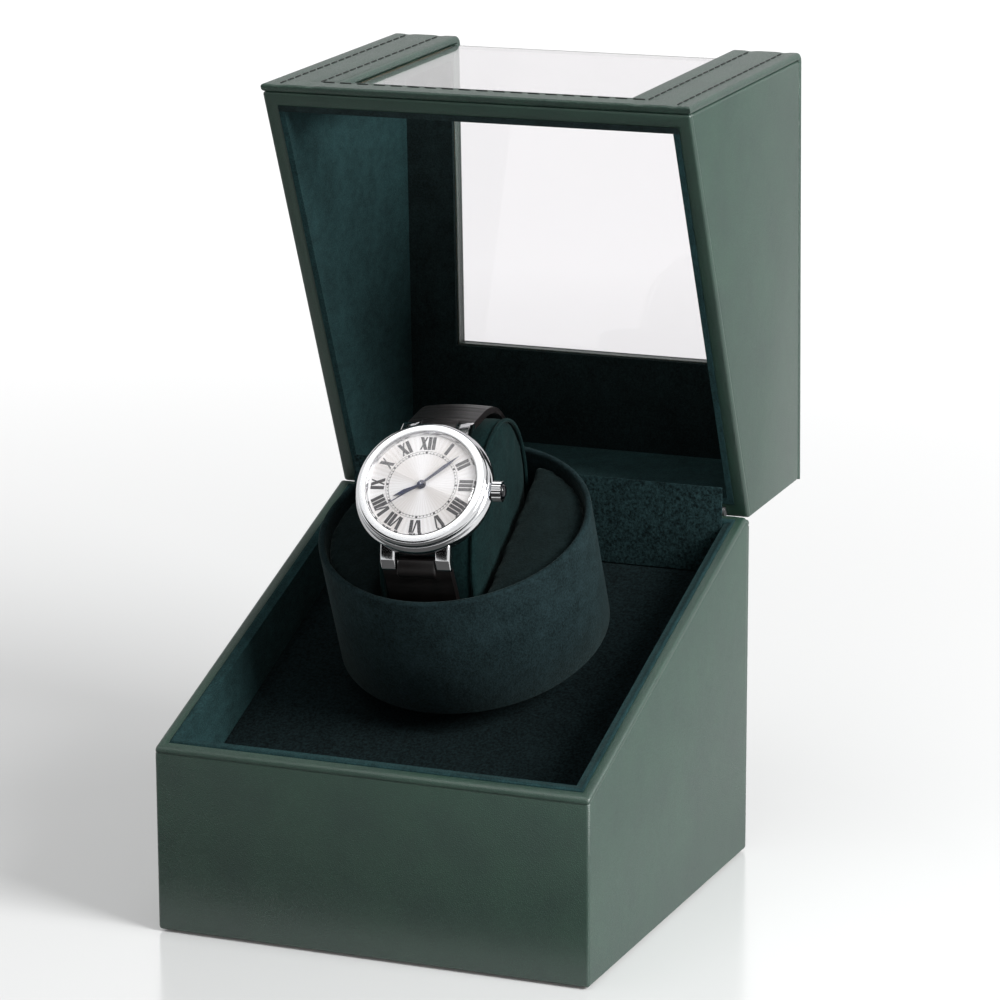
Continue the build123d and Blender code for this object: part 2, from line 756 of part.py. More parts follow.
jack_mouth = half_d + jack_lip_t
with BuildPart() as dc_jack:
    add(rod_y(jack_x, port_mid, panel_in, half_d, jack_r))
    add(rod_y(jack_x, port_mid, pcb_y + pcb_t, panel_in, jack_body_r))
    add(rod_y(jack_x, port_mid, half_d - panel_set_in, jack_mouth, jack_lip_r))
    add(rod_y(jack_x, port_mid, jack_mouth - jack_depth, jack_mouth + over, jack_bore_r), mode=Mode.SUBTRACT)
    add(rod_y(jack_x, port_mid, jack_mouth - jack_depth - over, half_d - over, jack_pin_r))
save(dc_jack.part, "dc_jack")

body_half_w = switch_w / 2 - switch_fit
body_half_h = switch_h / 2 - switch_fit
with BuildPart() as switch_body:
    add(box_at(switch_x - body_half_w, switch_x + body_half_w, pcb_y + pcb_t, half_d,
               port_mid - body_half_h, port_mid + body_half_h))
    add(box_at(switch_x - switch_w / 2 - switch_lip, switch_x + switch_w / 2 + switch_lip,
               half_d - panel_set_in, half_d + switch_lip_t,
               port_mid - switch_h / 2 - switch_lip, port_mid + switch_h / 2 + switch_lip))
    add(box_at(switch_x - rocker_w / 2 - rocker_gap, switch_x + rocker_w / 2 + rocker_gap,
               rocker_y - rocker_well, half_d + 2 * over, port_mid - rocker_room, port_mid + rocker_room),
        mode=Mode.SUBTRACT)
    add(rod_x(switch_x - rocker_w / 2 - over, switch_x + rocker_w / 2 + over, rocker_y, port_mid,
              rocker_pin_r + rocker_pin_clear), mode=Mode.SUBTRACT)
save(switch_body.part, "switch_body")

rocker_pivot = Location((0, rocker_y, port_mid))
with BuildPart() as rocker:
    with BuildSketch(Plane.YZ.offset(switch_x - rocker_w / 2)):
        with BuildLine():
            Polyline((rocker_y - rocker_heel, port_mid - rocker_root),
                     (rocker_y + rocker_tip, port_mid - rocker_half),
                     (rocker_y + rocker_dip, port_mid),
                     (rocker_y + rocker_tip, port_mid + rocker_half),
                     (rocker_y - rocker_heel, port_mid + rocker_root),
                     (rocker_y - rocker_keel, port_mid), close=True)
        make_face()
    extrude(amount=rocker_w)
    add(rod_x(switch_x - rocker_w / 2 - over + switch_fit, switch_x + rocker_w / 2 + over - switch_fit,
              rocker_y, port_mid, rocker_pin_r))
save(rocker.part, "rocker",
     rocker_pivot * Location((0, 0, 0), (rocker_deg, 0, 0)) * rocker_pivot.inverse())

# the motor's lead: straight runs joined by tangent arcs, from the motor's tail to the board's plug
motor_end = drum.from_local_coords((-motor_r / 4, motor_v, motor_low))
plug_mid = (plug_z0 + plug_z1) / 2
lead_points = [motor_end, motor_end - drum.z_dir * lead_out]
lead_points += [Vector(x, y, bottom_top + lead_r + lie) for (x, y), lie in zip(lead_via, lead_lie)]
lead_points += [Vector(plug_x, pcb_y - plug_t - lead_out, plug_mid), Vector(plug_x, pcb_y - plug_t, plug_mid)]
lead_radii = []
for before, corner, after in zip(lead_points, lead_points[1:], lead_points[2:]):
    bend = radians((corner - before).get_angle(after - corner))
    lead_radii.append(0.45 * min((corner - before).length, (after - corner).length) / tan(bend / 2))
with BuildPart() as motor_lead:
    with BuildLine() as lead_path:
        FilletPolyline(*lead_points, radius=lead_radii)
    with BuildSketch(Plane(origin=lead_path.line @ 0, z_dir=lead_path.line % 0)):
        Circle(lead_r)
    sweep()
save(motor_lead.part, "motor_lead")

# ------------------------------------------------------------------ hinges
heel_low = chamfer_z + heel_seat
leaf_top = chamfer_z + leaf_over
heel_side = [(leaf_y0, leaf_top - heel_root), (leaf_y0, leaf_top + heel_rise),
             (half_d - heel_t, leaf_top + heel_rise), (half_d - heel_t, hinge_z - hinge_inset),
             (half_d, hinge_z - hinge_inset), (half_d, heel_low), (leaf_y1, chamfer_z + heel_lead)]
for s, side in ((-1, "left"), (1, "right")):
    pin_span = spread(s * (hinge_in - pin_end), s * (hinge_out + pin_end))
    bore = rod_x(*pin_span, hinge_y, hinge_z, pin_r + pin_clear)
    with BuildPart() as lower_leaf:
        add(box_at(*spread(s * (hinge_in - heel_len), s * (hinge_out + heel_len)), leaf_y0, leaf_y1,
                   leaf_low, leaf_top))
        for xa, xb in (spread(s * hinge_in, s * knuckle_in), spread(s * knuckle_out, s * hinge_out)):
            add(rod_x(xa, xb, hinge_y, hinge_z, barrel_r))
            add(box_at(xa, xb, leaf_y0, leaf_y1, leaf_top - over, hinge_z))
        for xa, xb in (spread(s * hinge_in, s * (hinge_in - heel_len)),
                       spread(s * hinge_out, s * (hinge_out + heel_len))):
            with BuildSketch(Plane.YZ.offset(xa)):
                with BuildLine():
                    Polyline(*heel_side, close=True)
                make_face()
            extrude(amount=xb - xa)
        add(bore, mode=Mode.SUBTRACT)
    save(lower_leaf.part, "lower_leaf_" + side)
    with BuildPart() as upper_leaf:
        xa, xb = spread(s * (knuckle_in + knuckle_gap), s * (knuckle_out - knuckle_gap))
        add(rod_x(xa, xb, hinge_y, hinge_z, barrel_r))
        add(box_at(xa, xb, leaf_y0, leaf_y1, hinge_z, hinge_z + leaf_len))
        add(box_at(*spread(s * hinge_in, s * hinge_out), leaf_y0, leaf_y1,
                   hinge_z + root_h, hinge_z + leaf_len))
        add(bore, mode=Mode.SUBTRACT)
    save(upper_leaf.part, "upper_leaf_" + side, open_pose)
    with BuildPart() as hinge_pin:
        add(rod_x(*spread(s * hinge_in, s * hinge_out), hinge_y, hinge_z, pin_r))
    save(hinge_pin.part, "hinge_pin_" + side)

# ------------------------------------------------------------------ lid, modelled closed
lid_front = -half_d + frame_t
lid_top = box_h - frame_t
lid_in_front = lid_front + wall_t
lid_in_top = lid_top - wall_t
lid_side = [(lid_front, lid_rim(lid_front)), (half_d, lid_rim(half_d)),
            (half_d, lid_top), (lid_front, lid_top)]
lid_cavity = box_at(-cavity_half, cavity_half, lid_in_front, cavity_half_d, 0, lid_in_top)
window_cut = box_at(-window_half, window_half, -half_d - over, window_rear_y, window_low_z, box_h + over)
rebate_y = lid_front + pane_t + pane_seat
rebate_z = lid_top - pane_t - pane_seat
rebate_low = window_low_z - pane_lap - pane_gap
rebate_rear = window_rear_y + pane_lap + pane_gap
rebate = side_block([(lid_front - over, rebate_low), (rebate_y, rebate_low), (rebate_y, rebate_z - pane_r),
                     (rebate_y + pane_r, rebate_z), (rebate_rear, rebate_z), (rebate_rear, lid_top + over),
                     (lid_front - over, lid_top + over)], 0, window_half + pane_lap + pane_gap)
lid_cutters = [lid_cavity, window_cut, rebate] + barrel_cut + upper_slots

with BuildPart() as lid_board:
    add(side_block(lid_side, leather_t, half_w - leather_t))
    for cutter in lid_cutters:
        add(cutter, mode=Mode.SUBTRACT)
save(lid_board.part, "lid_board", open_pose)

with BuildPart() as lid_cover:
    add(side_block(lid_side, 0, half_w))
    upright = lid_cover.edges().filter_by(Axis.Z).filter_by(lambda e: abs(e.center().X) > cavity_half)
    fillet(upright, corner_r)
    add(side_block(lid_side, leather_t, half_w - leather_t), mode=Mode.SUBTRACT)
    for cutter in lid_cutters:
        add(cutter, mode=Mode.SUBTRACT)
save(lid_cover.part, "lid_cover", open_pose)

with BuildPart() as window_frame:
    with BuildSketch(Plane.YZ):
        with BuildLine():
            FilletPolyline((-half_d, lid_rim(-half_d)), (-half_d, box_h), (half_d, box_h), radius=frame_r)
            Polyline((half_d, box_h), (half_d, lid_top), (lid_front, lid_top),
                     (lid_front, lid_rim(lid_front)), (-half_d, lid_rim(-half_d)))
        make_face()
    extrude(amount=half_w, both=True)
    add(window_cut, mode=Mode.SUBTRACT)
save(window_frame.part, "window_frame", open_pose)

pane_low = window_low_z - pane_lap
pane_rear = window_rear_y + pane_lap
with BuildPart() as window_pane:
    with BuildSketch(Plane.YZ):
        with BuildLine():
            FilletPolyline((lid_front, pane_low), (lid_front, lid_top), (pane_rear, lid_top), radius=pane_r)
            Line((pane_rear, lid_top), (pane_rear, lid_top - pane_t))
            FilletPolyline((pane_rear, lid_top - pane_t), (lid_front + pane_t, lid_top - pane_t),
                           (lid_front + pane_t, pane_low), radius=pane_r - pane_t)
            Line((lid_front + pane_t, pane_low), (lid_front, pane_low))
        make_face()
    extrude(amount=window_half + pane_lap, both=True)
save(window_pane.part, "window_pane", open_pose)

liner_front = lid_in_front + liner_t
liner_top = lid_in_top - liner_t
with BuildPart() as lid_wall_liner:
    add(side_block([(liner_front, lid_rim(liner_front)), (cavity_half_d, lid_rim(cavity_half_d)),
                    (cavity_half_d, liner_top), (liner_front, liner_top)], 0, cavity_half))
    add(box_at(-liner_half, liner_half, lid_in_front, liner_half_d, 0, box_h), mode=Mode.SUBTRACT)
    for cutter in barrel_cut:
        add(cutter, mode=Mode.SUBTRACT)
save(lid_wall_liner.part, "lid_wall_liner", open_pose)

with BuildPart() as lid_frame_liner:
    add(side_block([(lid_in_front, lid_rim(lid_in_front)), (liner_front, lid_rim(liner_front)),
                    (liner_front, liner_top), (cavity_half_d, liner_top),
                    (cavity_half_d, lid_in_top), (lid_in_front, lid_in_top)], 0, cavity_half))
    add(window_cut, mode=Mode.SUBTRACT)
save(lid_frame_liner.part, "lid_frame_liner", open_pose)

# ------------------------------------------------------------------ cushion, strap, buckle
# side_on: first direction towards twelve o'clock, second along the dial's normal
side_on = Plane(origin=watch.origin, x_dir=watch.y_dir, z_dir=watch.x_dir)
with BuildPart() as cushion:
    with BuildSketch(side_on):
        with Locations((cushion_y, cushion_n)):
            Ellipse(cushion_half_l, cushion_half_t)
    extrude(amount=cushion_half_w, both=True)
    fillet(cushion.edges(), cushion_r)
save(cushion.part, "cushion")

bars = [(-bar_y, bar_n), (bar_y, bar_n)]


def strap_loop(inset, shoulder):
    """Sketch of the strap's loop, inset from its outside, with its shoulders at `shoulder`."""
    half_l = strap_half_l - inset
    half_t = strap_half_t - inset
    low, high = [(cushion_y + half_l * cos(radians(deg)), strap_n + half_t * sin(radians(deg)))
                 for deg in strap_leave_deg]
    with BuildSketch(side_on) as loop:
        with Locations((cushion_y, strap_n)):
            Ellipse(half_l, half_t)
        Polygon((-shoulder, case_floor - inset / 2), low, (0, cushion_n), high,
                (shoulder, case_floor - inset / 2), align=None)
    return loop.sketch


with BuildPart() as strap:
    extrude(strap_loop(0, strap_in), amount=strap_w / 2, both=True)
    extrude(strap_loop(strap_t, strap_in - strap_root), amount=strap_w, both=True, mode=Mode.SUBTRACT)
    with BuildSketch(side_on):
        Rectangle(notch_l, notch_h)
    extrude(amount=strap_w, both=True, mode=Mode.SUBTRACT)
    with BuildSketch(side_on):
        with Locations(*bars):
            Circle(strap_loop_r)
        for s, foot in ((-1, tongue_low_n), (1, tongue_high_n)):
            Polygon((s * bar_y, bar_n + strap_loop_r), (s * strap_in, case_floor), (s * strap_in, foot),
                    (s * bar_y, bar_n - strap_loop_r), align=None)
    extrude(amount=lug_gap_half - lug_gap, both=True)
    with BuildSketch(side_on):
        with Locations(*bars):
            Circle(bar_r + bar_fit)
    extrude(amount=strap_w, both=True, mode=Mode.SUBTRACT)
save(strap.part, "strap")

with BuildPart() as buckle:
    with BuildSketch(watch.offset(strap_n - strap_half_t - buckle_t)):
        with Locations((0, cushion_y)):
            RectangleRounded(buckle_w, buckle_l, buckle_wire)
            RectangleRounded(buckle_w - 2 * buckle_wire, buckle_l - 2 * buckle_wire, buckle_wire / 2,
                             mode=Mode.SUBTRACT)
            Rectangle(prong_w, buckle_l - buckle_wire)
    extrude(amount=buckle_t)
save(buckle.part, "buckle")

# ------------------------------------------------------------------ watch
# across: first direction towards three o'clock, second along the dial's normal
across = Plane(origin=watch.origin, x_dir=watch.x_dir, z_dir=-watch.y_dir)
face_axis = Axis(watch.origin, watch.z_dir)
stem_at = (0, stem_z)
with BuildPart() as watch_case:
    with BuildSketch(across):
        with BuildLine():
            Spline((case_r - case_foot, case_back), (case_r - case_round, case_floor + case_turn),
                   (case_r, stem_z), (case_r - case_round, case_lip), (bezel_out, bezel_top - bezel_edge))
            Polyline((bezel_out, bezel_top - bezel_edge), (bezel_r, bezel_top), (bezel_r, case_floor),
                     (0, case_floor), (0, case_back), (case_r - case_foot, case_back))
        make_face()
    revolve(axis=face_axis)
    for sx in (-1, 1):
        for sy in (-1, 1):
            xa, xb = spread(sx * lug_gap_half, sx * (lug_gap_half + lug_w))
            with BuildSketch(side_on.offset(xa)):
                with BuildLine():
                    Polyline(*[(sy * (bar_y + dy), bar_n + dn) for dy, dn in lug_shape], close=True)
                make_face()
            extrude(amount=xb - xa)
    with BuildSketch(side_on):
        with Locations(*bars):
            Circle(bar_r)
    extrude(amount=lug_gap_half + lug_w / 2, both=True)
    add(disc(watch, 0, 0, seat_r, -dial_t, 2 * bezel_top), mode=Mode.SUBTRACT)
    with BuildSketch(side_on):
        with Locations(stem_at):
            Circle(stem_bore_r)
    extrude(amount=case_r + over, mode=Mode.SUBTRACT)
save(watch_case.part, "watch_case")

with BuildPart() as movement:
    add(disc(watch, 0, 0, movement_r, case_floor, -dial_t))
    post_low = -dial_t
    for post_r, post_top in post_steps:
        add(disc(watch, 0, 0, post_r, post_low, post_top))
        post_low = post_top
    with BuildSketch(side_on.offset(movement_r + over)):
        with Locations(stem_at):
            Circle(stem_bore_r)
    extrude(amount=stem_in - movement_r - 2 * over, mode=Mode.SUBTRACT)
save(movement.part, "movement")

with BuildPart() as dial:
    add(disc(watch, 0, 0, dial_r, -dial_t, 0))
    add(disc(watch, 0, 0, dial_hole_r, -over, over), mode=Mode.SUBTRACT)
save(dial.part, "dial")

with BuildPart() as crystal:
    add(disc(watch, 0, 0, dial_r, crystal_z, crystal_z + crystal_t))
    chamfer(crystal.faces().sort_by(face_axis)[-1].edges(), crystal_edge)
save(crystal.part, "crystal")

for name, (length, tail, width, z0, z1, boss, post, turn) in hand_specs.items():
    with BuildPart() as hand:
        with BuildSketch(spun(watch, -turn).offset(z0)):
            with BuildLine():
                Polyline((-hand_root / 2, 0), (-width / 2, length * hand_belly), (0, length),
                         (width / 2, length * hand_belly), (hand_root / 2, 0), (tail_half, -tail),
                         (-tail_half, -tail), close=True)
            make_face()
            Circle(boss)
            Circle(post + run_clear, mode=Mode.SUBTRACT)
        extrude(amount=z1 - z0)
    save(hand.part, name)

crown_in = case_r + crown_gap
with BuildPart() as crown:
    with BuildSketch(side_on.offset(crown_in)):
        with Locations(stem_at):
            Circle(crown_r)
    extrude(amount=crown_t)
    fillet(crown.edges(), crown_edge)
    with BuildSketch(side_on.offset(crown_in + crown_t)):
        with Locations(stem_at):
            Circle(cabochon_r)
    extrude(amount=cabochon_t)
    fillet(crown.faces().sort_by(Axis(watch.origin, watch.x_dir))[-1].edges(), 0.8 * cabochon_t)
    with BuildSketch(side_on.offset(stem_in)):
        with Locations(stem_at):
            Circle(stem_r)
    extrude(amount=crown_in - stem_in + over)
save(crown.part, "crown")
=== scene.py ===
"""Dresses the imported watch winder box.

Leather wraps, a stitched window surround, suede linings and drum, stuffed parts and a strapped watch.
"""
import math

import bmesh
import bpy
from mathutils import Matrix, Vector


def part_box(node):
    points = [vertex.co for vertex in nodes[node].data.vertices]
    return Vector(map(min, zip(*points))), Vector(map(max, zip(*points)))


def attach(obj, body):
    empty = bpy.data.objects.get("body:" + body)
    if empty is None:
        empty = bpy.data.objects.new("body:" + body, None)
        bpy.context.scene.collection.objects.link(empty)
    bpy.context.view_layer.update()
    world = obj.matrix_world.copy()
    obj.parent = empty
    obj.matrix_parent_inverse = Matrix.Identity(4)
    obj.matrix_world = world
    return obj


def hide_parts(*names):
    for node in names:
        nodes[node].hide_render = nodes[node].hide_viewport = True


bl_info = {
    "name": "Watch Winder Box",
    "version": (1, 0, 0),
    "blender": (4, 5, 0),
    "location": "View3D > Sidebar > Winder",
    "description": "Leather, suede and watch pieces for a slant-lidded watch winder box",
    "category": "Add Mesh",
}

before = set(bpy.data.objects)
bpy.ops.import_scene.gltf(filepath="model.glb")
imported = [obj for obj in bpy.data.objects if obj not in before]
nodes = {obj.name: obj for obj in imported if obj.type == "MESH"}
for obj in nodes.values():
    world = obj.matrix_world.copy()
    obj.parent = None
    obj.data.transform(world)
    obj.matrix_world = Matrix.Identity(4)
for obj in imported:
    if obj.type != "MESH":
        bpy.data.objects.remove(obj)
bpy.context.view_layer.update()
mm = 0.001
same = 0.01 * mm                            # points closer than this lie at one place
merge = 0.001 * mm                          # cuts closer than this join

# ---- sizes that the pieces share, from the frame and the box's build-up
base_low, base_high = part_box("base_cover")
half = base_high.x                          # half the box's width and depth
foot = base_low.z                           # gap under the leather, left by the felt
front_h = 54 * mm
rear_h = 104 * mm
box_h = 152 * mm
leather_t = 0.8 * mm
wall_t = 4.2 * mm
liner_t = 1.8 * mm
cavity = half - wall_t
rim_gap = 0.25 * mm
rim_slope = (rear_h - front_h) / (2 * half)
rim_w = 3.0 * mm                            # leather on the base's rim; the lining covers the rest
rear_fold = ((61.7 * mm, 102.73 * mm), (62.35 * mm, 101.75 * mm), (63.2 * mm, 101.55 * mm),
             (half, 101.65 * mm))           # leather's hollow under the hinge, as (y, z)
surround_t = 2.3 * mm
surround_r = 3.0 * mm
strip_w = 21 * mm
bar_h = 10.8 * mm
window_half = half - strip_w
window_rear = 30 * mm
deck_front_z = 33.82 * mm                   # deck's top face at the front wall
drum_tilt = math.radians(23)                # deck and drum lean by it
deck_slope = math.tan(drum_tilt)
deck_t = 4.35 * mm                          # deck's thickness, measured upright
fold_r = 1.0 * mm                           # radius of the leather at a folded edge
over = 1.0 * mm                             # how far a cutter runs past a face

hinge = Vector((0, 63.5 * mm, 103.423 * mm))
lid_stop = Matrix.Rotation(math.radians(-88), 4, "X")
lid_open = Matrix.Translation(hinge) @ lid_stop @ Matrix.Translation(-hinge)
drum = Matrix.Translation((0, -3.3 * mm, 110.8 * mm)) @ Matrix.Rotation(drum_tilt, 4, "X")
drum_turned = drum @ Matrix.Rotation(math.radians(6.5), 4, "Z")
cup_r = 39.2 * mm
cup_bore = 37.3 * mm
cup_len = 39 * mm
watch = (drum_turned @ Matrix.Translation((0, -19.2 * mm, 26.2 * mm))
         @ Matrix.Rotation(math.radians(28.6), 4, "X"))
upright = Matrix(((0, 0, 1, 0), (1, 0, 0, 0), (0, 1, 0, 0), (0, 0, 0, 1)))   # from XY outlines to YZ ones


def rim(y):
    """Height of the base's slanted rim at y, with the hollow under the hinge at its rear end."""
    if y <= rear_fold[0][0]:
        return front_h + rim_slope * (y + half)
    for (y0, z0), (y1, z1) in zip(rear_fold, rear_fold[1:]):
        if y <= y1 + merge:
            return z0 + (z1 - z0) * (y - y0) / (y1 - y0)
    return rear_fold[-1][1]


# ------------------------------------------------------------------ colours and nodes
def colour(code):
    """An sRGB hex colour as a linear RGBA tuple."""
    parts = [int(code[i:i + 2], 16) / 255 for i in (1, 3, 5)]
    return tuple(c / 12.92 if c <= 0.04045 else ((c + 0.055) / 1.055) ** 2.4 for c in parts) + (1.0,)


def add_node(tree, kind, inputs=None, **settings):
    """Adds a node, sets its settings, and sets or links its inputs."""
    made = tree.nodes.new(kind)
    for name, value in settings.items():
        setattr(made, name, value)
    for socket, value in (inputs or {}).items():
        if isinstance(value, bpy.types.NodeSocket):
            tree.links.new(value, made.inputs[socket])
        else:
            made.inputs[socket].default_value = value
    return made


def new_material(name, **sockets):
    """A material with one principled shader and its fixed sockets; returns material, tree and shader."""
    made = bpy.data.materials.new(name)
    made.use_nodes = True
    tree = made.node_tree
    shader = tree.nodes["Principled BSDF"]
    for socket, value in sockets.items():
        shader.inputs[socket.replace("_", " ")].default_value = value
    return made, tree, shader


def feed(tree, shader, **sources):
    """Links sockets into the shader's inputs of those names."""
    for name, source in sources.items():
        tree.links.new(source, shader.inputs[name.replace("_", " ")])


def mix_surface(tree, share, first, second):
    """Makes the material's surface a mix of two shader nodes, by a share."""
    both = add_node(tree, "ShaderNodeMixShader", {0: share, 1: first.outputs[0], 2: second.outputs[0]})
    tree.links.new(both.outputs[0], tree.nodes["Material Output"].inputs["Surface"])


def object_coords(tree):
    return add_node(tree, "ShaderNodeTexCoord").outputs["Object"]


def placed(tree, where, **settings):
    """Coordinates moved, turned or stretched by a Mapping node's settings."""
    sockets = {"Vector": where}
    sockets.update(settings)
    return add_node(tree, "ShaderNodeMapping", sockets).outputs[0]


def noise(tree, where, size, detail=2.0, rough=0.5):
    """Noise whose lumps are about `size` metres apart."""
    sockets = {"Vector": where, "Scale": 1 / size, "Detail": detail, "Roughness": rough}
    return add_node(tree, "ShaderNodeTexNoise", sockets).outputs["Fac"]


def spread(tree, value, low, high, start=0.0, end=1.0):
    """A value from start to end, mapped onto low to high."""
    sockets = {"Value": value, "From Min": start, "From Max": end, "To Min": low, "To Max": high}
    return add_node(tree, "ShaderNodeMapRange", sockets).outputs[0]


def ramp(tree, value, stops):
    """A colour ramp over (position, colour) stops."""
    made = add_node(tree, "ShaderNodeValToRGB", {"Fac": value})
    steps = made.color_ramp.elements
    while len(steps) < len(stops):
        steps.new(0.5)
    for step, (place, tone) in zip(steps, stops):
        step.position = place
        step.color = tone
    return made.outputs["Color"]


def bump(tree, height, depth, strength=1.0, under=None):
    """A bump from a height of 0 to 1, `depth` metres deep, over another bump."""
    inputs = {"Height": height, "Distance": depth, "Strength": strength}
    if under is not None:
        inputs["Normal"] = under
    return add_node(tree, "ShaderNodeBump", inputs).outputs["Normal"]


def mixed_colours(tree, share, first, second):
    """Blends two colours, sockets or constants, by a share."""
    made = add_node(tree, "ShaderNodeMix", {0: share, 6: first, 7: second}, data_type="RGBA")
    return made.outputs[2]


def maths(tree, operation, a, b=0.0, clamp=False):
    return add_node(tree, "ShaderNodeMath", {0: a, 1: b}, operation=operation, use_clamp=clamp).outputs[0]


# ------------------------------------------------------------------ materials
def grained_leather(name, code, light, grain=0.55 * mm, depth=0.05 * mm):
    """Embossed, sealed leather: fine pebbles with painted shade darkening the creases between them, and a
    satin top coat.
    """
    made, tree, shader = new_material(name, Specular_IOR_Level=0.85)
    where = object_coords(tree)
    pebbles = add_node(tree, "ShaderNodeTexVoronoi", {"Vector": where, "Scale": 1 / grain},
                       feature="DISTANCE_TO_EDGE").outputs["Distance"]
    pebble_height = maths(tree, "MULTIPLY", pebbles, 3.0, clamp=True)
    patches = noise(tree, where, 14 * mm, 3.0)
    tone = ramp(tree, patches, [(0.3, colour(code)), (0.7, colour(light))])
    # painted shade: the creases between the pebbles are mixed towards a dark green
    crease_shade_share = maths(tree, "MULTIPLY", maths(tree, "SUBTRACT", 1.0, pebble_height), 0.5)
    crease_shaded = mixed_colours(tree, crease_shade_share, tone, colour("#16251F"))
    fine = noise(tree, where, 0.25 * mm, 2.0)
    waves = bump(tree, noise(tree, where, 6 * mm), 0.12 * mm, 0.5)
    feed(tree, shader, Base_Color=crease_shaded, Roughness=spread(tree, fine, 0.34, 0.46),
         Normal=bump(tree, pebble_height, depth, 0.75, waves))
    return made


def short_suede(name, code, light, nap=0.5 * mm, speckle=0.5):
    """Brushed microfibre suede: matt, with cloudy nap strokes, a short-pile speckle and a soft sheen."""
    made, tree, shader = new_material(name, Roughness=1.0, Specular_IOR_Level=0.05,
                                      Sheen_Weight=0.14, Sheen_Roughness=0.4)
    shader.inputs["Sheen Tint"].default_value = colour("#8A9C99")
    where = object_coords(tree)
    clouds = noise(tree, where, 9 * mm, 3.0, 0.6)
    strokes = noise(tree, placed(tree, where, Scale=(1.0, 0.45, 0.7)), 1.6 * mm, 3.0, 0.7)
    fibres = noise(tree, where, nap, 2.0, 0.7)
    rest = (1 - speckle) / 2
    clouds_part = maths(tree, "MULTIPLY", clouds, rest)
    strokes_part = maths(tree, "MULTIPLY", strokes, rest)
    fibres_part = maths(tree, "MULTIPLY", fibres, speckle)
    mixed = maths(tree, "ADD", clouds_part, maths(tree, "ADD", strokes_part, fibres_part))
    soft = bump(tree, strokes, 0.25 * mm, 0.5)
    feed(tree, shader, Base_Color=ramp(tree, mixed, [(0.38, colour(code)), (0.62, colour(light))]),
         Normal=bump(tree, fibres, 0.15 * mm, 0.9, soft))
    return made


def scaled_leather():
    """Near-black strap leather: smooth, with patches of a slightly lighter tone and a thin glaze."""
    made, tree, shader = new_material("scaled_strap_leather", Specular_IOR_Level=0.3, Coat_Weight=0.08,
                                      Coat_Roughness=0.2)
    where = object_coords(tree)
    patches = noise(tree, where, 2.5 * mm, 3.0)
    fine = noise(tree, where, 0.3 * mm, 2.0)
    feed(tree, shader, Base_Color=ramp(tree, patches, [(0.3, colour("#050404")), (0.7, colour("#0F0B0B"))]),
         Roughness=spread(tree, fine, 0.28, 0.48), Normal=bump(tree, fine, 0.04 * mm, 0.5))
    return made


def raw_board():
    """Medium-density fibreboard: pale brown, with short matted fibres."""
    made, tree, shader = new_material("raw_fibreboard", Roughness=0.85, Specular_IOR_Level=0.3)
    fibres = noise(tree, object_coords(tree), 0.8 * mm, 4.0, 0.7)
    feed(tree, shader, Base_Color=ramp(tree, fibres, [(0.3, colour("#7C6348")), (0.7, colour("#A98C69"))]),
         Normal=bump(tree, fibres, 0.1 * mm, 0.5))
    return made


def clear_sheet(name):
    """Clear polished sheet: it reflects and refracts, and lets lamp light straight through."""
    made, tree, shader = new_material(name, Roughness=0.0, IOR=1.49, Transmission_Weight=1.0)
    shader.inputs["Base Color"].default_value = colour("#EFEDEF")
    smudges = noise(tree, object_coords(tree), 25 * mm, 2.0)
    feed(tree, shader, Normal=bump(tree, smudges, 0.02 * mm, 0.1))
    path = add_node(tree, "ShaderNodeLightPath")
    lamp_ray = maths(tree, "MAXIMUM", path.outputs["Is Shadow Ray"], path.outputs["Is Diffuse Ray"])
    clear = add_node(tree, "ShaderNodeBsdfTransparent", {"Color": colour("#F2F3F3")})
    mix_surface(tree, lamp_ray, shader, clear)
    return made


def metal(name, code, rough, streak=0.0, along=(1.0, 1.0, 1.0)):
    """Bare or plated metal; streaks along one direction where it is brushed or turned."""
    made, tree, shader = new_material(name, Metallic=1.0)
    shader.inputs["Base Color"].default_value = colour(code)
    lines = noise(tree, placed(tree, object_coords(tree), Scale=along), 0.4 * mm, 3.0, 0.6)
    feed(tree, shader, Roughness=spread(tree, lines, rough, rough + 0.12 + streak))
    if streak:
        feed(tree, shader, Normal=bump(tree, lines, 0.02 * mm, streak))
    return made


def moulded(name, code, rough=0.5, grit=0.3 * mm):
    """Injection-moulded plastic with a fine spark-eroded texture."""
    made, tree, shader = new_material(name, Specular_IOR_Level=0.5)
    grain = noise(tree, object_coords(tree), grit, 3.0)
    lighter = tuple(min(1, part * 1.3) for part in colour(code))
    feed(tree, shader, Base_Color=ramp(tree, grain, [(0.2, colour(code)), (1.0, lighter)]),
         Roughness=spread(tree, grain, rough - 0.06, rough + 0.08), Normal=bump(tree, grain, 0.03 * mm, 0.4))
    return made


def silvered_dial():
    """Silvered, lacquered dial with fine rays from its middle, and a painted sheen that lightens and darkens
    it in four broad lobes.
    """
    made, tree, shader = new_material("silvered_dial", Metallic=0.1, Roughness=0.45, Coat_Weight=0.2)
    from_middle = {"Vector": object_coords(tree), "Location": watch.translation, "Rotation": watch.to_euler()}
    centred = add_node(tree, "ShaderNodeMapping", from_middle, vector_type="TEXTURE")
    split = add_node(tree, "ShaderNodeSeparateXYZ", {"Vector": centred.outputs[0]})
    angle = maths(tree, "ARCTAN2", split.outputs["Y"], split.outputs["X"])
    rays = maths(tree, "SINE", maths(tree, "MULTIPLY", angle, 60.0))
    # painted sheen: four broad lobes of light and shade round the dial, as a sunray finish throws them
    painted_sheen_lobes = maths(tree, "SINE", maths(tree, "ADD", maths(tree, "MULTIPLY", angle, 4.0), 1.0))
    mixed = maths(tree, "ADD", maths(tree, "MULTIPLY", rays, 0.15), maths(tree, "MULTIPLY", painted_sheen_lobes, 0.3))
    rays_and_painted_sheen = maths(tree, "ADD", mixed, 0.5, clamp=True)
    feed(tree, shader, Base_Color=ramp(tree, rays_and_painted_sheen, [(0.1, colour("#E4DFDA")), (0.9, colour("#FFFEFD"))]),
         Normal=bump(tree, rays, 0.02 * mm, 0.35))
    return made


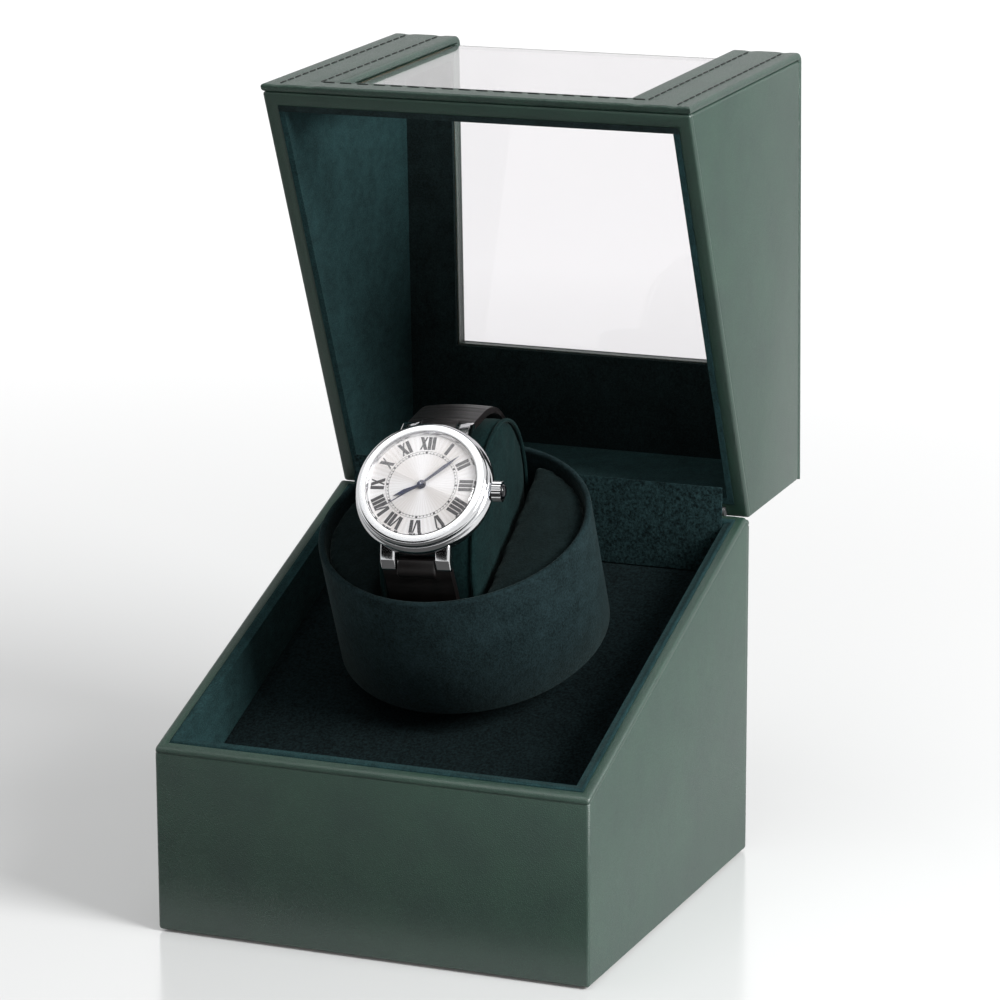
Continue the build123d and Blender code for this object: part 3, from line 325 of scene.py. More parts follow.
MAKERS = {
    "leather": lambda: grained_leather("grained_green_leather", "#1C3A30", "#234436"),
    "surround_leather": lambda: grained_leather("stitched_green_leather", "#1C3A30", "#264538",
                                                0.8 * mm, 0.1 * mm),
    "suede": lambda: short_suede("green_suede_lining", "#162627", "#264042"),
    # painted shade: the window lining is a darker copy of the lining suede, for the shade inside the open lid
    "frame_suede_painted_shade": lambda: short_suede("green_suede_window_lining_painted_shade", "#131A1A", "#222F30"),
    # painted shade: the deck is the darkest copy of the suede, for the shade in the well round the drum
    "deck_suede_painted_shade": lambda: short_suede("green_suede_deck_painted_shade", "#04090A", "#142022", 0.8 * mm, 0.7),
    # painted light: the apron is a lighter copy of the deck's suede, where the key lamp falls on it
    "apron_suede_painted_light": lambda: short_suede("green_suede_apron_painted_light", "#091314", "#24383A", 0.8 * mm, 0.7),
    # painted shade: the drum's suede is a darker copy of the lining suede
    "drum_suede_painted_shade": lambda: short_suede("green_suede_drum_painted_shade", "#0F191A", "#202F32", 0.6 * mm),
    # painted shade: the pads' suede is a darker copy of the lining suede, for the shade inside the cup
    "pad_suede_painted_shade": lambda: short_suede("green_suede_pad_painted_shade", "#0A1212", "#162122", 0.6 * mm),
    # painted shade: the cushion's suede is a darker copy of the lining suede
    "cushion_suede_painted_shade": lambda: short_suede("green_suede_cushion_painted_shade", "#071415", "#122525", 0.6 * mm),
    "board": raw_board,
    "felt": lambda: short_suede("black_felt", "#0C0E0E", "#1C2020", 0.7 * mm),
    "pane": lambda: clear_sheet("clear_acrylic_pane"),
    "rhodium": lambda: metal("rhodium_plated_movement", "#A7A9AC", 0.22, 0.2),
    "steel": lambda: metal("turned_steel", "#A9ABAD", 0.3, 0.3),
    "hinge": lambda: metal("satin_nickel", "#9C9D9F", 0.32, 0.25),
    "polished": lambda: metal("polished_steel", "#D6D7D9", 0.06),
    "plate": lambda: metal("mill_aluminium", "#ADAFB2", 0.38, 0.4, (1.0, 0.05, 1.0)),
    "brass": lambda: metal("machined_brass", "#C8A055", 0.25, 0.2),
    "motor": lambda: metal("zinc_plated_can", "#8F9296", 0.35, 0.3),
    "black_plastic": lambda: moulded("black_moulded_plastic", "#121314"),
    "cup_plastic": lambda: moulded("grey_moulded_plastic", "#1B1D1E"),
    "gear_plastic": lambda: moulded("white_acetal", "#DAD9D0", 0.4),
    "circuit": lambda: moulded("lacquered_board", "#0E3A20", 0.25, 1.5 * mm),
    "lead": lambda: moulded("rubber_sheath", "#0D0D0E", 0.55),
    "strap": scaled_leather,
    "thread": lambda: moulded("waxed_black_thread", "#0C100F", 0.6, 0.2 * mm),
    "crystal": lambda: clear_sheet("sapphire_crystal"),
    "dial": silvered_dial,
    "ink": lambda: moulded("printed_black_enamel", "#17181B", 0.35, 0.2 * mm),
    "blued": lambda: metal("blued_steel", "#1B2440", 0.15),
    "cabochon": lambda: moulded("dark_polished_stone", "#07080C", 0.08, 1.0 * mm),
}
made_materials = {}


def material(key):
    """The material of that name, made on first use."""
    if key not in made_materials:
        made_materials[key] = MAKERS[key]()
    return made_materials[key]


# ------------------------------------------------------------------ mesh helpers
def new_object(bm, name, *materials):
    """Turns a bmesh into an object in the scene, with those materials."""
    mesh = bpy.data.meshes.new(name)
    bm.to_mesh(mesh)
    bm.free()
    for each in materials:
        mesh.materials.append(each)
    made = bpy.data.objects.new(name, mesh)
    bpy.context.scene.collection.objects.link(made)
    return made


def finish_piece(bm, name, key, body, place=None, stands_for=(), flat_over=40):
    """Turns a bmesh into a piece on a body: in place, normals outward, smooth up to an angle."""
    bmesh.ops.remove_doubles(bm, verts=bm.verts, dist=0.003 * mm)
    bmesh.ops.recalc_face_normals(bm, faces=bm.faces)
    if place is not None:
        bm.transform(place)
    piece = new_object(bm, name, material(key))
    smooth(piece, flat_over)
    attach(piece, body)
    if stands_for:
        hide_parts(*stands_for)
    return piece


def smooth(piece, flat_over):
    """Shades a piece smooth, but for edges sharper than that angle."""
    piece.data.polygons.foreach_set("use_smooth", [True] * len(piece.data.polygons))
    piece.data.set_sharp_from_angle(angle=math.radians(flat_over))


def verts_in(geom):
    return [each for each in geom if isinstance(each, bmesh.types.BMVert)]


def edges_in(geom):
    return [each for each in geom if isinstance(each, bmesh.types.BMEdge)]


def round_edges(bm, edges, radius, segments):
    """Rounds edges; returns the vertices of the new faces."""
    return bmesh.ops.bevel(bm, geom=list(edges), offset=radius, segments=segments, profile=0.5,
                           affect="EDGES", material=-1, clamp_overlap=True)["verts"]


def slice_at(bm, axis, value, clear_outer=False):
    """Cuts edges and faces where a coordinate has that value, and drops what lies past it on request."""
    normal = [0, 0, 0]
    normal[axis] = 1
    bmesh.ops.bisect_plane(bm, geom=bm.verts[:] + bm.edges[:] + bm.faces[:], dist=merge,
                           plane_co=[part * value for part in normal], plane_no=normal,
                           clear_outer=clear_outer)


def block(bm, low, high, edge=0.0, segments=3):
    """Box between two corners, with rounded edges; returns its vertices."""
    low, high = Vector(low), Vector(high)
    made = bmesh.ops.create_cube(bm, size=1.0)["verts"]
    bmesh.ops.scale(bm, vec=high - low, verts=made)
    bmesh.ops.translate(bm, vec=(high + low) / 2, verts=made)
    if edge:
        edges = {e for v in made for e in v.link_edges}
        made = round_edges(bm, edges, edge, segments)
    return made


def flat_face(bm, axis, value):
    """The largest face that lies at that value of an axis."""
    lying = [f for f in bm.faces if all(abs(v.co[axis] - value) < same for v in f.verts)]
    return max(lying, key=lambda f: f.calc_area())


def rim_inward(bm, face, drop, width=wall_t):
    """Opens a box at a face: a rim of that width, folded by `drop` and out to the leather's inside."""
    softened = 0.6 * mm
    for thickness, depth in ((width - fold_r - softened, 0), (softened, -softened / 2)):
        bmesh.ops.inset_region(bm, faces=[face], thickness=thickness, depth=depth, use_even_offset=True)
    hole = list(face.edges)
    bmesh.ops.delete(bm, geom=[face], context="FACES_ONLY")
    turned = bmesh.ops.extrude_edge_only(bm, edges=hole)["geom"]
    bmesh.ops.translate(bm, vec=(0, 0, drop), verts=verts_in(turned))
    turned = bmesh.ops.extrude_edge_only(bm, edges=edges_in(turned))["geom"]
    grow = width - leather_t
    for v in verts_in(turned):
        v.co.x += math.copysign(grow, v.co.x)
        v.co.y += math.copysign(grow, v.co.y)
    return edges_in(turned)


def crease(bm, height, deep, side):
    """A pressed line round the outside of a box, at a height, `deep` into the leather."""
    line_half = 0.35 * mm
    for step in (-line_half, 0, line_half):
        slice_at(bm, 2, height + step)
    for v in bm.verts:
        if abs(v.co.z - height) < same and side(v.co):
            v.co.x *= 1 - deep / half
            v.co.y *= 1 - deep / half


def box_cutter(low, high):
    """Cutter for a box between two corners."""
    return lambda bm: block(bm, low, high)


def rod_cutter(x0, x1, y, z, r):
    """Cutter for a rod along X."""
    def shape(bm):
        rod = bmesh.ops.create_cone(bm, cap_ends=True, segments=48, radius1=r, radius2=r, depth=x1 - x0)
        made = rod["verts"]
        bmesh.ops.rotate(bm, cent=(0, 0, 0), matrix=Matrix.Rotation(math.pi / 2, 3, "Y"), verts=made)
        bmesh.ops.translate(bm, vec=((x0 + x1) / 2, y, z), verts=made)
    return shape


def cut_away(piece, shapes, place=None):
    """Cuts shapes, given as functions that build them, out of a piece."""
    cutters = []
    for shape in shapes:
        bm = bmesh.new()
        shape(bm)
        if place is not None:
            bm.transform(place)
        cutter = new_object(bm, "cutter")
        cutters.append(cutter)
        modifier = piece.modifiers.new("cut", "BOOLEAN")
        modifier.operation = "DIFFERENCE"
        modifier.solver = "EXACT"
        modifier.object = cutter
    apply_modifiers(piece)
    for cutter in cutters:
        bpy.data.objects.remove(cutter)


def apply_modifiers(piece):
    """Replaces a piece's mesh by what its modifiers make of it."""
    shown = piece.evaluated_get(bpy.context.evaluated_depsgraph_get())
    mesh = bpy.data.meshes.new_from_object(shown)
    piece.modifiers.clear()
    piece.data = mesh


def lathe(bm, outline, segments=96):
    """Spins an outline of (radius, height) points about Z into a surface."""
    verts = [bm.verts.new((r, 0, z)) for r, z in outline]
    edges = [bm.edges.new(pair) for pair in zip(verts, verts[1:])]
    bmesh.ops.spin(bm, geom=verts + edges, cent=(0, 0, 0), axis=(0, 0, 1), angle=2 * math.pi,
                   steps=segments, use_merge=True, use_duplicate=False)
    bmesh.ops.remove_doubles(bm, verts=bm.verts, dist=merge)


def arc(centre, radius, start, end, steps=6):
    """Points round an arc between two angles in degrees."""
    turns = [math.radians(start + (end - start) * k / steps) for k in range(steps + 1)]
    return [(centre[0] + radius * math.cos(turn), centre[1] + radius * math.sin(turn)) for turn in turns]


# ------------------------------------------------------------------ settings
class WinderSizes(bpy.types.PropertyGroup):
    crease_depth: bpy.props.FloatProperty(
        name="Crease depth", description="Depth of the pressed line under the rim",
        default=0.22 * mm, min=0, max=0.6 * mm, unit="LENGTH", precision=5)
    stitch_pitch: bpy.props.FloatProperty(
        name="Stitch pitch", description="Distance from one stitch to the next",
        default=5.0 * mm, min=2 * mm, max=9 * mm, unit="LENGTH", precision=5)
    stitch_length: bpy.props.FloatProperty(
        name="Stitch length", description="Length of thread that shows",
        default=3.6 * mm, min=1 * mm, max=7 * mm, unit="LENGTH", precision=5)
    padding: bpy.props.FloatProperty(
        name="Padding", description="Height of the leather's swell between two rows of stitches",
        default=0.22 * mm, min=0, max=1 * mm, unit="LENGTH", precision=5)
    cushion_fill: bpy.props.FloatProperty(
        name="Cushion fill", description="How tightly the cushion is stuffed",
        default=0.8, min=0, max=1, subtype="FACTOR")


class WinderStage(bpy.types.PropertyGroup):
    key_power: bpy.props.FloatProperty(
        name="Key lamp", description="Power of the large lamp on the right",
        default=21, min=0, unit="POWER")
    top_power: bpy.props.FloatProperty(
        name="Top lamp", description="Power of the large lamp overhead",
        default=4.0, min=0, unit="POWER")
    sky: bpy.props.FloatProperty(
        name="Sky", description="Strength of the even light from all round",
        default=0.25, min=0, max=2)
    floor: bpy.props.FloatVectorProperty(
        name="Floor", description="Colour of the floor",
        default=colour("#DEDFDF")[:3], subtype="COLOR", min=0, max=1)
    lens: bpy.props.FloatProperty(
        name="Lens", description="Focal length in millimetres",
        default=150.3, min=20)
    azimuth: bpy.props.FloatProperty(
        name="Azimuth", description="Camera's turn to the right of the front",
        default=math.radians(22.372), subtype="ANGLE")
    elevation: bpy.props.FloatProperty(
        name="Elevation", description="Camera's height angle",
        default=math.radians(13.561), subtype="ANGLE")
    roll: bpy.props.FloatProperty(
        name="Roll", description="Camera's tilt",
        default=math.radians(-0.168), subtype="ANGLE")


# ------------------------------------------------------------------ leather
crease_in = 1.7 * mm                        # pressed line's distance from the rim
crease_reach = 0.6 * mm                     # how far inside the outer faces a line still shows


class WINDER_OT_base_wrap(bpy.types.Operator):
    """Leather round the base, with rounded folds and a pressed line under the rim"""
    bl_idname = "winder.base_wrap"
    bl_label = "Base Leather"

    def execute(self, context):
        sizes = context.scene.winder_sizes
        bm = bmesh.new()
        block(bm, (-half, -half, foot), (half, half, front_h), fold_r)
        inner = rim_inward(bm, flat_face(bm, 2, front_h), -leather_t, rim_w)
        for v in bm.verts:              # the rear rim is as wide as the wall
            if half - rim_w - same < v.co.y < half - rim_w + 0.7 * mm:
                v.co.y -= wall_t - rim_w
        floor = flat_face(bm, 2, foot)
        lower = list(floor.edges)
        bmesh.ops.delete(bm, geom=[floor], context="FACES_ONLY")
        bmesh.ops.bridge_loops(bm, edges=inner + lower)
        crease(bm, front_h - crease_in, sizes.crease_depth,
               lambda p: max(abs(p.x), abs(p.y)) > half - crease_reach)
        for y, _ in rear_fold[:-1]:
            slice_at(bm, 1, y)
        for v in bm.verts:
            if v.co.z > front_h / 2:
                v.co.z += rim(v.co.y) - front_h
        piece = finish_piece(bm, "base_leather", "leather", "base", None, ["base_cover"])
        low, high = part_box("rear_panel")
        flange = 4 * mm
        gap = 0.2 * mm
        port = box_cutter((low.x + flange - gap, cavity - 2 * mm, low.z + flange - gap),
                          (high.x - flange + gap, half + over, high.z - flange + gap))
        cut_away(piece, [port])
        smooth(piece, 40)
        return {"FINISHED"}


class WINDER_OT_lid_wrap(bpy.types.Operator):
    """Leather round the lid's sides and back, with rounded folds and a pressed line over the rim"""
    bl_idname = "winder.lid_wrap"
    bl_label = "Lid Leather"

    def execute(self, context):
        sizes = context.scene.winder_sizes
        front = -half + surround_t
        top = box_h - surround_t
        low = front_h + rim_gap
        bm = bmesh.new()
        block(bm, (-half, front, low), (half, half, top), fold_r)
        inner = rim_inward(bm, flat_face(bm, 2, low), leather_t)
        raised = bmesh.ops.extrude_edge_only(bm, edges=inner)["geom"]
        for v in verts_in(raised):
            v.co.z = top - leather_t
        bmesh.ops.contextual_create(bm, geom=edges_in(raised))
        crease(bm, low + crease_in, sizes.crease_depth,
               lambda p: max(abs(p.x), p.y) > half - crease_reach or p.y < front + crease_reach)
        for v in bm.verts:
            if v.co.z < (low + top) / 2:
                v.co.z += rim_slope * (v.co.y + half)
        piece = finish_piece(bm, "lid_leather", "leather", "lid", lid_open, ["lid_cover"])
        window = box_cutter((-window_half, -half - over, front_h + bar_h),
                            (window_half, window_rear, box_h + over))
        barrel_r = 1.75 * mm
        end_gap = 0.2 * mm
        grooves = []
        for side in ("left", "right"):
            pin_low, pin_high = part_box("hinge_pin_" + side)
            grooves.append(rod_cutter(pin_low.x - end_gap, pin_high.x + end_gap, hinge.y, hinge.z, barrel_r))
        cut_away(piece, [window] + grooves, lid_open)
        smooth(piece, 40)
        return {"FINISHED"}


class WINDER_OT_window_reveal(bpy.types.Operator):
    """Leather turned into the window opening, behind the pane"""
    bl_idname = "winder.window_reveal"
    bl_label = "Window Reveal"

    def execute(self, context):
        skin = 0.3 * mm
        behind_pane = surround_t + 2.1 * mm
        inside_wall = surround_t + wall_t
        out_y, in_y = -half + behind_pane, -half + inside_wall
        out_z, in_z = box_h - behind_pane, box_h - inside_wall
        low = front_h + bar_h
        strips = []
        for s in (-1, 1):
            x0, x1 = sorted((s * window_half, s * (window_half - skin)))
            strips += [((x0, out_y, low), (x1, in_y, out_z)), ((x0, in_y, in_z), (x1, window_rear, out_z))]
        strips += [((-window_half, out_y, low), (window_half, in_y, low + skin)),
                   ((-window_half, window_rear - skin, in_z), (window_half, window_rear, out_z))]
        bm = bmesh.new()
        for corner, opposite in strips:
            block(bm, corner, opposite, 0.1 * mm, 1)
        finish_piece(bm, "window_reveal", "leather", "lid", lid_open)
        return {"FINISHED"}


surround_rise = box_h - surround_r - front_h - rim_gap
surround_turn = surround_r * math.pi / 2
surround_len = surround_rise + surround_turn + 2 * half - surround_r
window_start = bar_h - rim_gap              # the window's ends along the flat surround
window_end = surround_rise + surround_turn + window_rear + half - surround_r


def fold_surround(p):
    """Lays a flat point (across, along, height) on the lid's front and top, round their fold."""
    across, along, height = p
    if along < surround_rise:
        return Vector((across, -half - height, front_h + rim_gap + along))
    if along > surround_rise + surround_turn:
        y = -half + surround_r + along - surround_rise - surround_turn
        return Vector((across, y, box_h + height))
    turn = (along - surround_rise) / surround_r
    r = surround_r + height
    y = -half + surround_r - r * math.cos(turn)
    return Vector((across, y, box_h - surround_r + r * math.sin(turn)))


def stitch_rows():
    """Rows of stitches on the flat surround, as (fixed coordinate, start, end, runs along)."""
    inset = 4.8 * mm
    end = 3 * mm
    bar_row = window_start - 2.2 * mm
    inner = window_half + inset + mm
    rows = []
    for s in (-1, 1):
        rows.append((s * (half - inset), end, surround_len - end, True))
        rows.append((s * inner, bar_row, surround_len - end, True))
    rows.append((bar_row, -inner, inner, False))
    rows.append((window_end + inset, -window_half - mm, window_half + mm, False))
    return rows


def surround_height(x, s, padding):
    """Height of the padded leather at a flat point: level between the rows, and dipped along them."""
    dip_half = 1.3 * mm
    past_ends = 3 * mm
    dip = 0.0
    for place, start, end, along in stitch_rows():
        if along:
            away = abs(x - place)
        elif start - past_ends < x < end + past_ends:
            away = abs(s - place)
        else:
            continue
        dip = max(dip, math.exp(-(away / dip_half) ** 2))
    return -padding * dip


class WINDER_OT_window_surround(bpy.types.Operator):
    """Padded leather frame round the window, folded over the lid's front edge"""
    bl_idname = "winder.window_surround"
    bl_label = "Window Surround"

    def execute(self, context):
        sizes = context.scene.winder_sizes
        bm = bmesh.new()
        bmesh.ops.create_grid(bm, x_segments=1, y_segments=1, size=0.5)
        bmesh.ops.scale(bm, vec=(2 * half, surround_len, 1), verts=bm.verts)
        bmesh.ops.translate(bm, vec=(0, surround_len / 2, 0), verts=bm.verts)
        across, bar_rows, rear_rows, fold_rows = 21, 10, 30, 8
        for s in (-1, 1):
            for step in range(across):
                slice_at(bm, 0, s * (window_half + strip_w * step / across))
        for value in [window_start, window_end]:
            slice_at(bm, 1, value)
        for step in range(1, bar_rows):
            slice_at(bm, 1, window_start * step / bar_rows)
        for step in range(1, rear_rows):
            slice_at(bm, 1, window_end + (surround_len - window_end) * step / rear_rows)
        for step in range(fold_rows + 1):
            slice_at(bm, 1, surround_rise + surround_turn * step / fold_rows)
        middle = [f for f in bm.faces if abs(f.calc_center_median().x) < window_half
                  and window_start < f.calc_center_median().y < window_end]
        bmesh.ops.delete(bm, geom=middle, context="FACES")
        bmesh.ops.solidify(bm, geom=bm.faces[:], thickness=surround_t)
        top_z = max(v.co.z for v in bm.verts)
        for v in bm.verts:
            v.co.z -= top_z
        for level in (0, -surround_t):
            corner = [e for e in bm.edges if len(e.link_faces) == 2 and e.calc_face_angle(0) > 1
                      and all(abs(v.co.z - level) < 0.1 * mm for v in e.verts)]
            round_edges(bm, corner, 0.9 * mm, 4)
        slanted = 3 * mm                    # how far up the foot's slant fades out
        for v in bm.verts:
            v.co.y -= rim_slope * v.co.z * max(0.0, 1 - v.co.y / slanted)
            if v.co.z > -0.5 * mm:
                v.co.z += surround_height(v.co.x, v.co.y, sizes.padding)
            v.co = fold_surround(v.co)
        finish_piece(bm, "window_surround", "surround_leather", "lid", lid_open,
                     ["window_frame"], 60)
        return {"FINISHED"}


class WINDER_OT_stitches(bpy.types.Operator):
    """Rows of dark thread along the window surround"""
    bl_idname = "winder.stitches"
    bl_label = "Stitches"

    def execute(self, context):
        sizes = context.scene.winder_sizes
        bm = bmesh.new()
        thread = 0.42 * mm
        for place, start, end, along in stitch_rows():
            count = int((end - start) / sizes.stitch_pitch)
            for k in range(count):
                middle = start + (k + 0.5) * (end - start) / count
                made = block(bm, (-thread / 2, -sizes.stitch_length / 2, -thread / 2),
                             (thread / 2, sizes.stitch_length / 2, thread / 2), 0.16 * mm, 1)
                if along and abs(middle - surround_rise - surround_turn / 2) < surround_turn:
                    bmesh.ops.delete(bm, geom=made, context="VERTS")
                    continue
                for v in made:
                    x, s, z = (place + v.co.x, middle + v.co.y, v.co.z) if along else \
                              (middle + v.co.y, place + v.co.x, v.co.z)
                    v.co = fold_surround((x, s, z + 0.12 * mm - sizes.padding))
        finish_piece(bm, "window_stitches", "thread", "lid", lid_open)
        return {"FINISHED"}


class WINDER_OT_linings(bpy.types.Operator):
    """Suede lining of the base, with a rounded rim, and the apron that hides the hinge"""
    bl_idname = "winder.linings"
    bl_label = "Linings"

    def execute(self, context):
        bm = bmesh.new()
        block(bm, (-cavity, -cavity, 0), (cavity, cavity, front_h))
        lid = flat_face(bm, 2, front_h)
        bmesh.ops.inset_region(bm, faces=[lid], thickness=liner_t, use_even_offset=True)
        hole = list(lid.edges)
        floor = flat_face(bm, 2, 0)
        bmesh.ops.delete(bm, geom=[lid, floor], context="FACES_ONLY")
        dropped = bmesh.ops.extrude_edge_only(bm, edges=hole)["geom"]
        for v in dropped:
            if isinstance(v, bmesh.types.BMVert):
                v.co.z = 0
        open_edges = [e for e in bm.edges if e.is_boundary]
        bmesh.ops.bridge_loops(bm, edges=open_edges)
        lip = half - rim_w - 0.05 * mm  # outer edge of the rim's suede, against the leather
        lip_w = 1.1 * mm
        lip_t = 0.7 * mm
        slant = 6 * mm                  # depth at which the inner edge's slant ends
        for depth in (lip_t, lip_t + 2 * same, slant):
            slice_at(bm, 2, front_h - depth)
        for v in bm.verts:
            outside = max(abs(v.co.x), abs(v.co.y)) > cavity - same
            if outside and v.co.z > front_h - lip_t - same:
                old, new = cavity, lip
            elif not outside and v.co.z > front_h - same:
                old, new = cavity - liner_t, lip - lip_w
            else:
                continue
            if abs(abs(v.co.x) - old) < same:
                v.co.x = math.copysign(new, v.co.x)
            if abs(v.co.y + old) < same:
                v.co.y = -new
        folds = [e for e in bm.edges if all(abs(v.co.z - front_h) < same for v in e.verts)
                 and e.calc_face_angle(0) > 1]
        round_edges(bm, folds, 0.4 * mm, 3)
        for v in bm.verts:
            if v.co.z > front_h / 2:
                v.co.z += rim(v.co.y) - front_h
            else:
                v.co.z = deck_front_z - deck_t + deck_slope * (v.co.y + half)
        finish_piece(bm, "base_lining", "suede", "base", None, ["base_liner"], 50)
        low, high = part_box("hinge_apron")
        bm = bmesh.new()
        made = block(bm, low, high, 0.25 * mm, 3)
        for v in made:                  # the foot stays clear of the deck
            if v.co.z < (low.z + high.z) / 2:
                v.co.z += 0.1 * mm
        finish_piece(bm, "apron_suede_painted_light", "apron_suede_painted_light", "base", None, ["hinge_apron"], 60)
        return {"FINISHED"}


# ------------------------------------------------------------------ soft parts
cloth_frames = 20


def inflated(piece, voxel, pressure, cap, soften):
    """Swells a closed form by a short cloth run, by `cap` at most, then smooths and subdivides it."""
    remesh = piece.modifiers.new("remesh", "REMESH")
    remesh.mode = "VOXEL"
    remesh.voxel_size = voxel
    apply_modifiers(piece)
    before = [v.co.copy() for v in piece.data.vertices]
    cloth = piece.modifiers.new("cloth", "CLOTH")
    cloth.settings.use_pressure = True
    cloth.settings.uniform_pressure_force = pressure
    cloth.settings.effector_weights.gravity = 0
    cloth.point_cache.frame_start = 1
    cloth.point_cache.frame_end = cloth_frames
    for step in range(1, cloth_frames + 1):
        bpy.context.scene.frame_set(step)
    apply_modifiers(piece)
    bpy.context.scene.frame_set(1)
    for v, start in zip(piece.data.vertices, before):
        move = v.co - start
        if move.length > cap:
            v.co = start + move.normalized() * cap
    bm = bmesh.new()
    bm.from_mesh(piece.data)
    for _ in range(soften):
        bmesh.ops.smooth_vert(bm, verts=bm.verts, factor=0.5,
                              use_axis_x=True, use_axis_y=True, use_axis_z=True)
    bm.to_mesh(piece.data)
    bm.free()
    finer = piece.modifiers.new("finer", "SUBSURF")
    finer.levels = 1
    finer.render_levels = 1
    apply_modifiers(piece)
    piece.data.polygons.foreach_set("use_smooth", [True] * len(piece.data.polygons))


def soft_piece(bm, name, key, body, place, node, voxel, pressure, cap, soften=3):
    """A stuffed piece that stands for a node, swelled from the bmesh."""
    piece = finish_piece(bm, name, key, body, place, [node])
    inflated(piece, voxel, pressure, cap, soften)


def ring_welt(bm, half_l, half_t, centre, x, thick, segments=72):
    """A thin sewn welt round an oval, in the plane at x."""
    made = bmesh.ops.create_circle(bm, segments=8, radius=thick, cap_ends=False)["verts"]
    bmesh.ops.rotate(bm, cent=(0, 0, 0), matrix=Matrix.Rotation(math.pi / 2, 3, "X"), verts=made)
    edges = list({e for v in made for e in v.link_edges})
    rings = [made]
    loop = edges
    for _ in range(1, segments):
        grown = bmesh.ops.extrude_edge_only(bm, edges=loop)["geom"]
        rings.append(verts_in(grown))
        loop = edges_in(grown)
    for k, ring in enumerate(rings):
        turn = 2 * math.pi * k / segments
        middle = Vector((x, centre[0] + half_l * math.cos(turn), centre[1] + half_t * math.sin(turn)))
        out = Vector((0, half_t * math.cos(turn), half_l * math.sin(turn))).normalized()
        for v in ring:
            v.co = middle + out * v.co.x + Vector((v.co.z, 0, 0))
    bmesh.ops.bridge_loops(bm, edges=edges + loop)


cushion_mid = (3 * mm, -34.2 * mm)          # towards twelve o'clock, and along the dial's normal
cushion_l = 33 * mm
cushion_t = 26 * mm
cushion_w = 14.8 * mm


class WINDER_OT_cushion(bpy.types.Operator):
    """Stuffed suede cushion with a sewn welt round each end"""
    bl_idname = "winder.cushion"
    bl_label = "Cushion"

    def execute(self, context):
        bm = bmesh.new()
        bmesh.ops.create_cone(bm, cap_ends=True, segments=64, radius1=1, radius2=1, depth=2)
        unstuffed = (cushion_l - 0.5 * mm, cushion_t - 0.5 * mm, cushion_w - 1.3 * mm)
        bmesh.ops.scale(bm, vec=unstuffed, verts=bm.verts)
        ends = [e for e in bm.edges if abs(e.verts[0].co.z - e.verts[1].co.z) < merge]
        round_edges(bm, ends, 2.2 * mm, 4)
        bm.transform(upright)
        bmesh.ops.translate(bm, vec=(0, *cushion_mid), verts=bm.verts)
        soft_piece(bm, "cushion_body", "cushion_suede_painted_shade", "cuff", watch, "cushion",
                   voxel=1.5 * mm, pressure=4.0, cap=1.0 * mm)
        bm = bmesh.new()
        welt_in = 0.9 * mm
        for s in (-1, 1):
            ring_welt(bm, cushion_l - welt_in, cushion_t - welt_in, cushion_mid,
                      s * (cushion_w - 1.6 * mm), 0.6 * mm)
        finish_piece(bm, "cushion_welts", "cushion_suede_painted_shade", "cuff", watch)
        return {"FINISHED"}


class WINDER_OT_inserts(bpy.types.Operator):
    """Two padded blocks beside the cushion and the pad under it"""
    bl_idname = "winder.inserts"
    bl_label = "Drum Pads"

    def execute(self, context):
        top, bottom = -2 * mm, -33.3 * mm
        slot_half = 15.4 * mm
        for side, turn in (("left", 0), ("right", math.pi)):
            bm = bmesh.new()
            bmesh.ops.create_circle(bm, cap_ends=True, segments=96, radius=cup_bore - 1.0 * mm)
            slice_at(bm, 0, -slot_half - 0.5 * mm, clear_outer=True)
            lifted = bmesh.ops.extrude_face_region(bm, geom=bm.faces[:])["geom"]
            bmesh.ops.translate(bm, vec=(0, 0, top - bottom - 0.6 * mm), verts=verts_in(lifted))
            bmesh.ops.translate(bm, vec=(0, 0, bottom), verts=bm.verts)
            high = [e for e in bm.edges if all(v.co.z > -5 * mm for v in e.verts)]
            round_edges(bm, high, 1.6 * mm, 3)
            place = drum_turned @ Matrix.Rotation(turn, 4, "Z")
            soft_piece(bm, "pad_" + side, "pad_suede_painted_shade", "drum", place, "insert_" + side,
                       voxel=1.4 * mm, pressure=2.5, cap=0.45 * mm, soften=2)
        bm = bmesh.new()
        lathe(bm, [(0, -36.5 * mm), (cup_bore - 1.5 * mm, -36.5 * mm)]
              + arc((cup_bore - 2.0 * mm, -34.6 * mm), 0.7 * mm, -60, 90)
              + [(20 * mm, -33.5 * mm), (0, -33.4 * mm)])
        piece = finish_piece(bm, "pad_floor", "pad_suede_painted_shade", "drum", drum, ["floor_pad"])
        return {"FINISHED"}


class WINDER_OT_drum(bpy.types.Operator):
    """Suede skin of the drum, with a soft rolled lip"""
    bl_idname = "winder.drum"
    bl_label = "Drum Suede"

    def execute(self, context):
        skin = 0.5 * mm
        edge = 0.6 * mm
        floor = -36.4 * mm
        shell_top = -skin - mm
        foot_inside = (cup_r - skin, -cup_len + edge)
        outside = [foot_inside, (cup_r - edge, -cup_len), (cup_r, -cup_len + edge), (cup_r, -20 * mm)]
        lip = arc(((cup_r + cup_bore) / 2, -0.95 * mm), (cup_r - cup_bore) / 2, 0, 180, 10)
        inside = [(cup_bore, floor), (cup_bore + skin, floor), (cup_bore + skin, shell_top),
                  (cup_r - skin, shell_top), foot_inside]
        bm = bmesh.new()
        lathe(bm, outside + lip + inside, 128)
        finish_piece(bm, "drum_suede_painted_shade", "drum_suede_painted_shade", "drum", drum, ["cup_cover"], 60)
        return {"FINISHED"}


# ------------------------------------------------------------------ strap
strap_mid = (3 * mm, -33.2 * mm)
strap_l = 35.7 * mm
strap_th = 30.0 * mm
strap_half_w = 10 * mm
strap_thick = 2.4 * mm
bar_y = 21.4 * mm                           # spring bars between the lugs
bar_n = -6.9 * mm


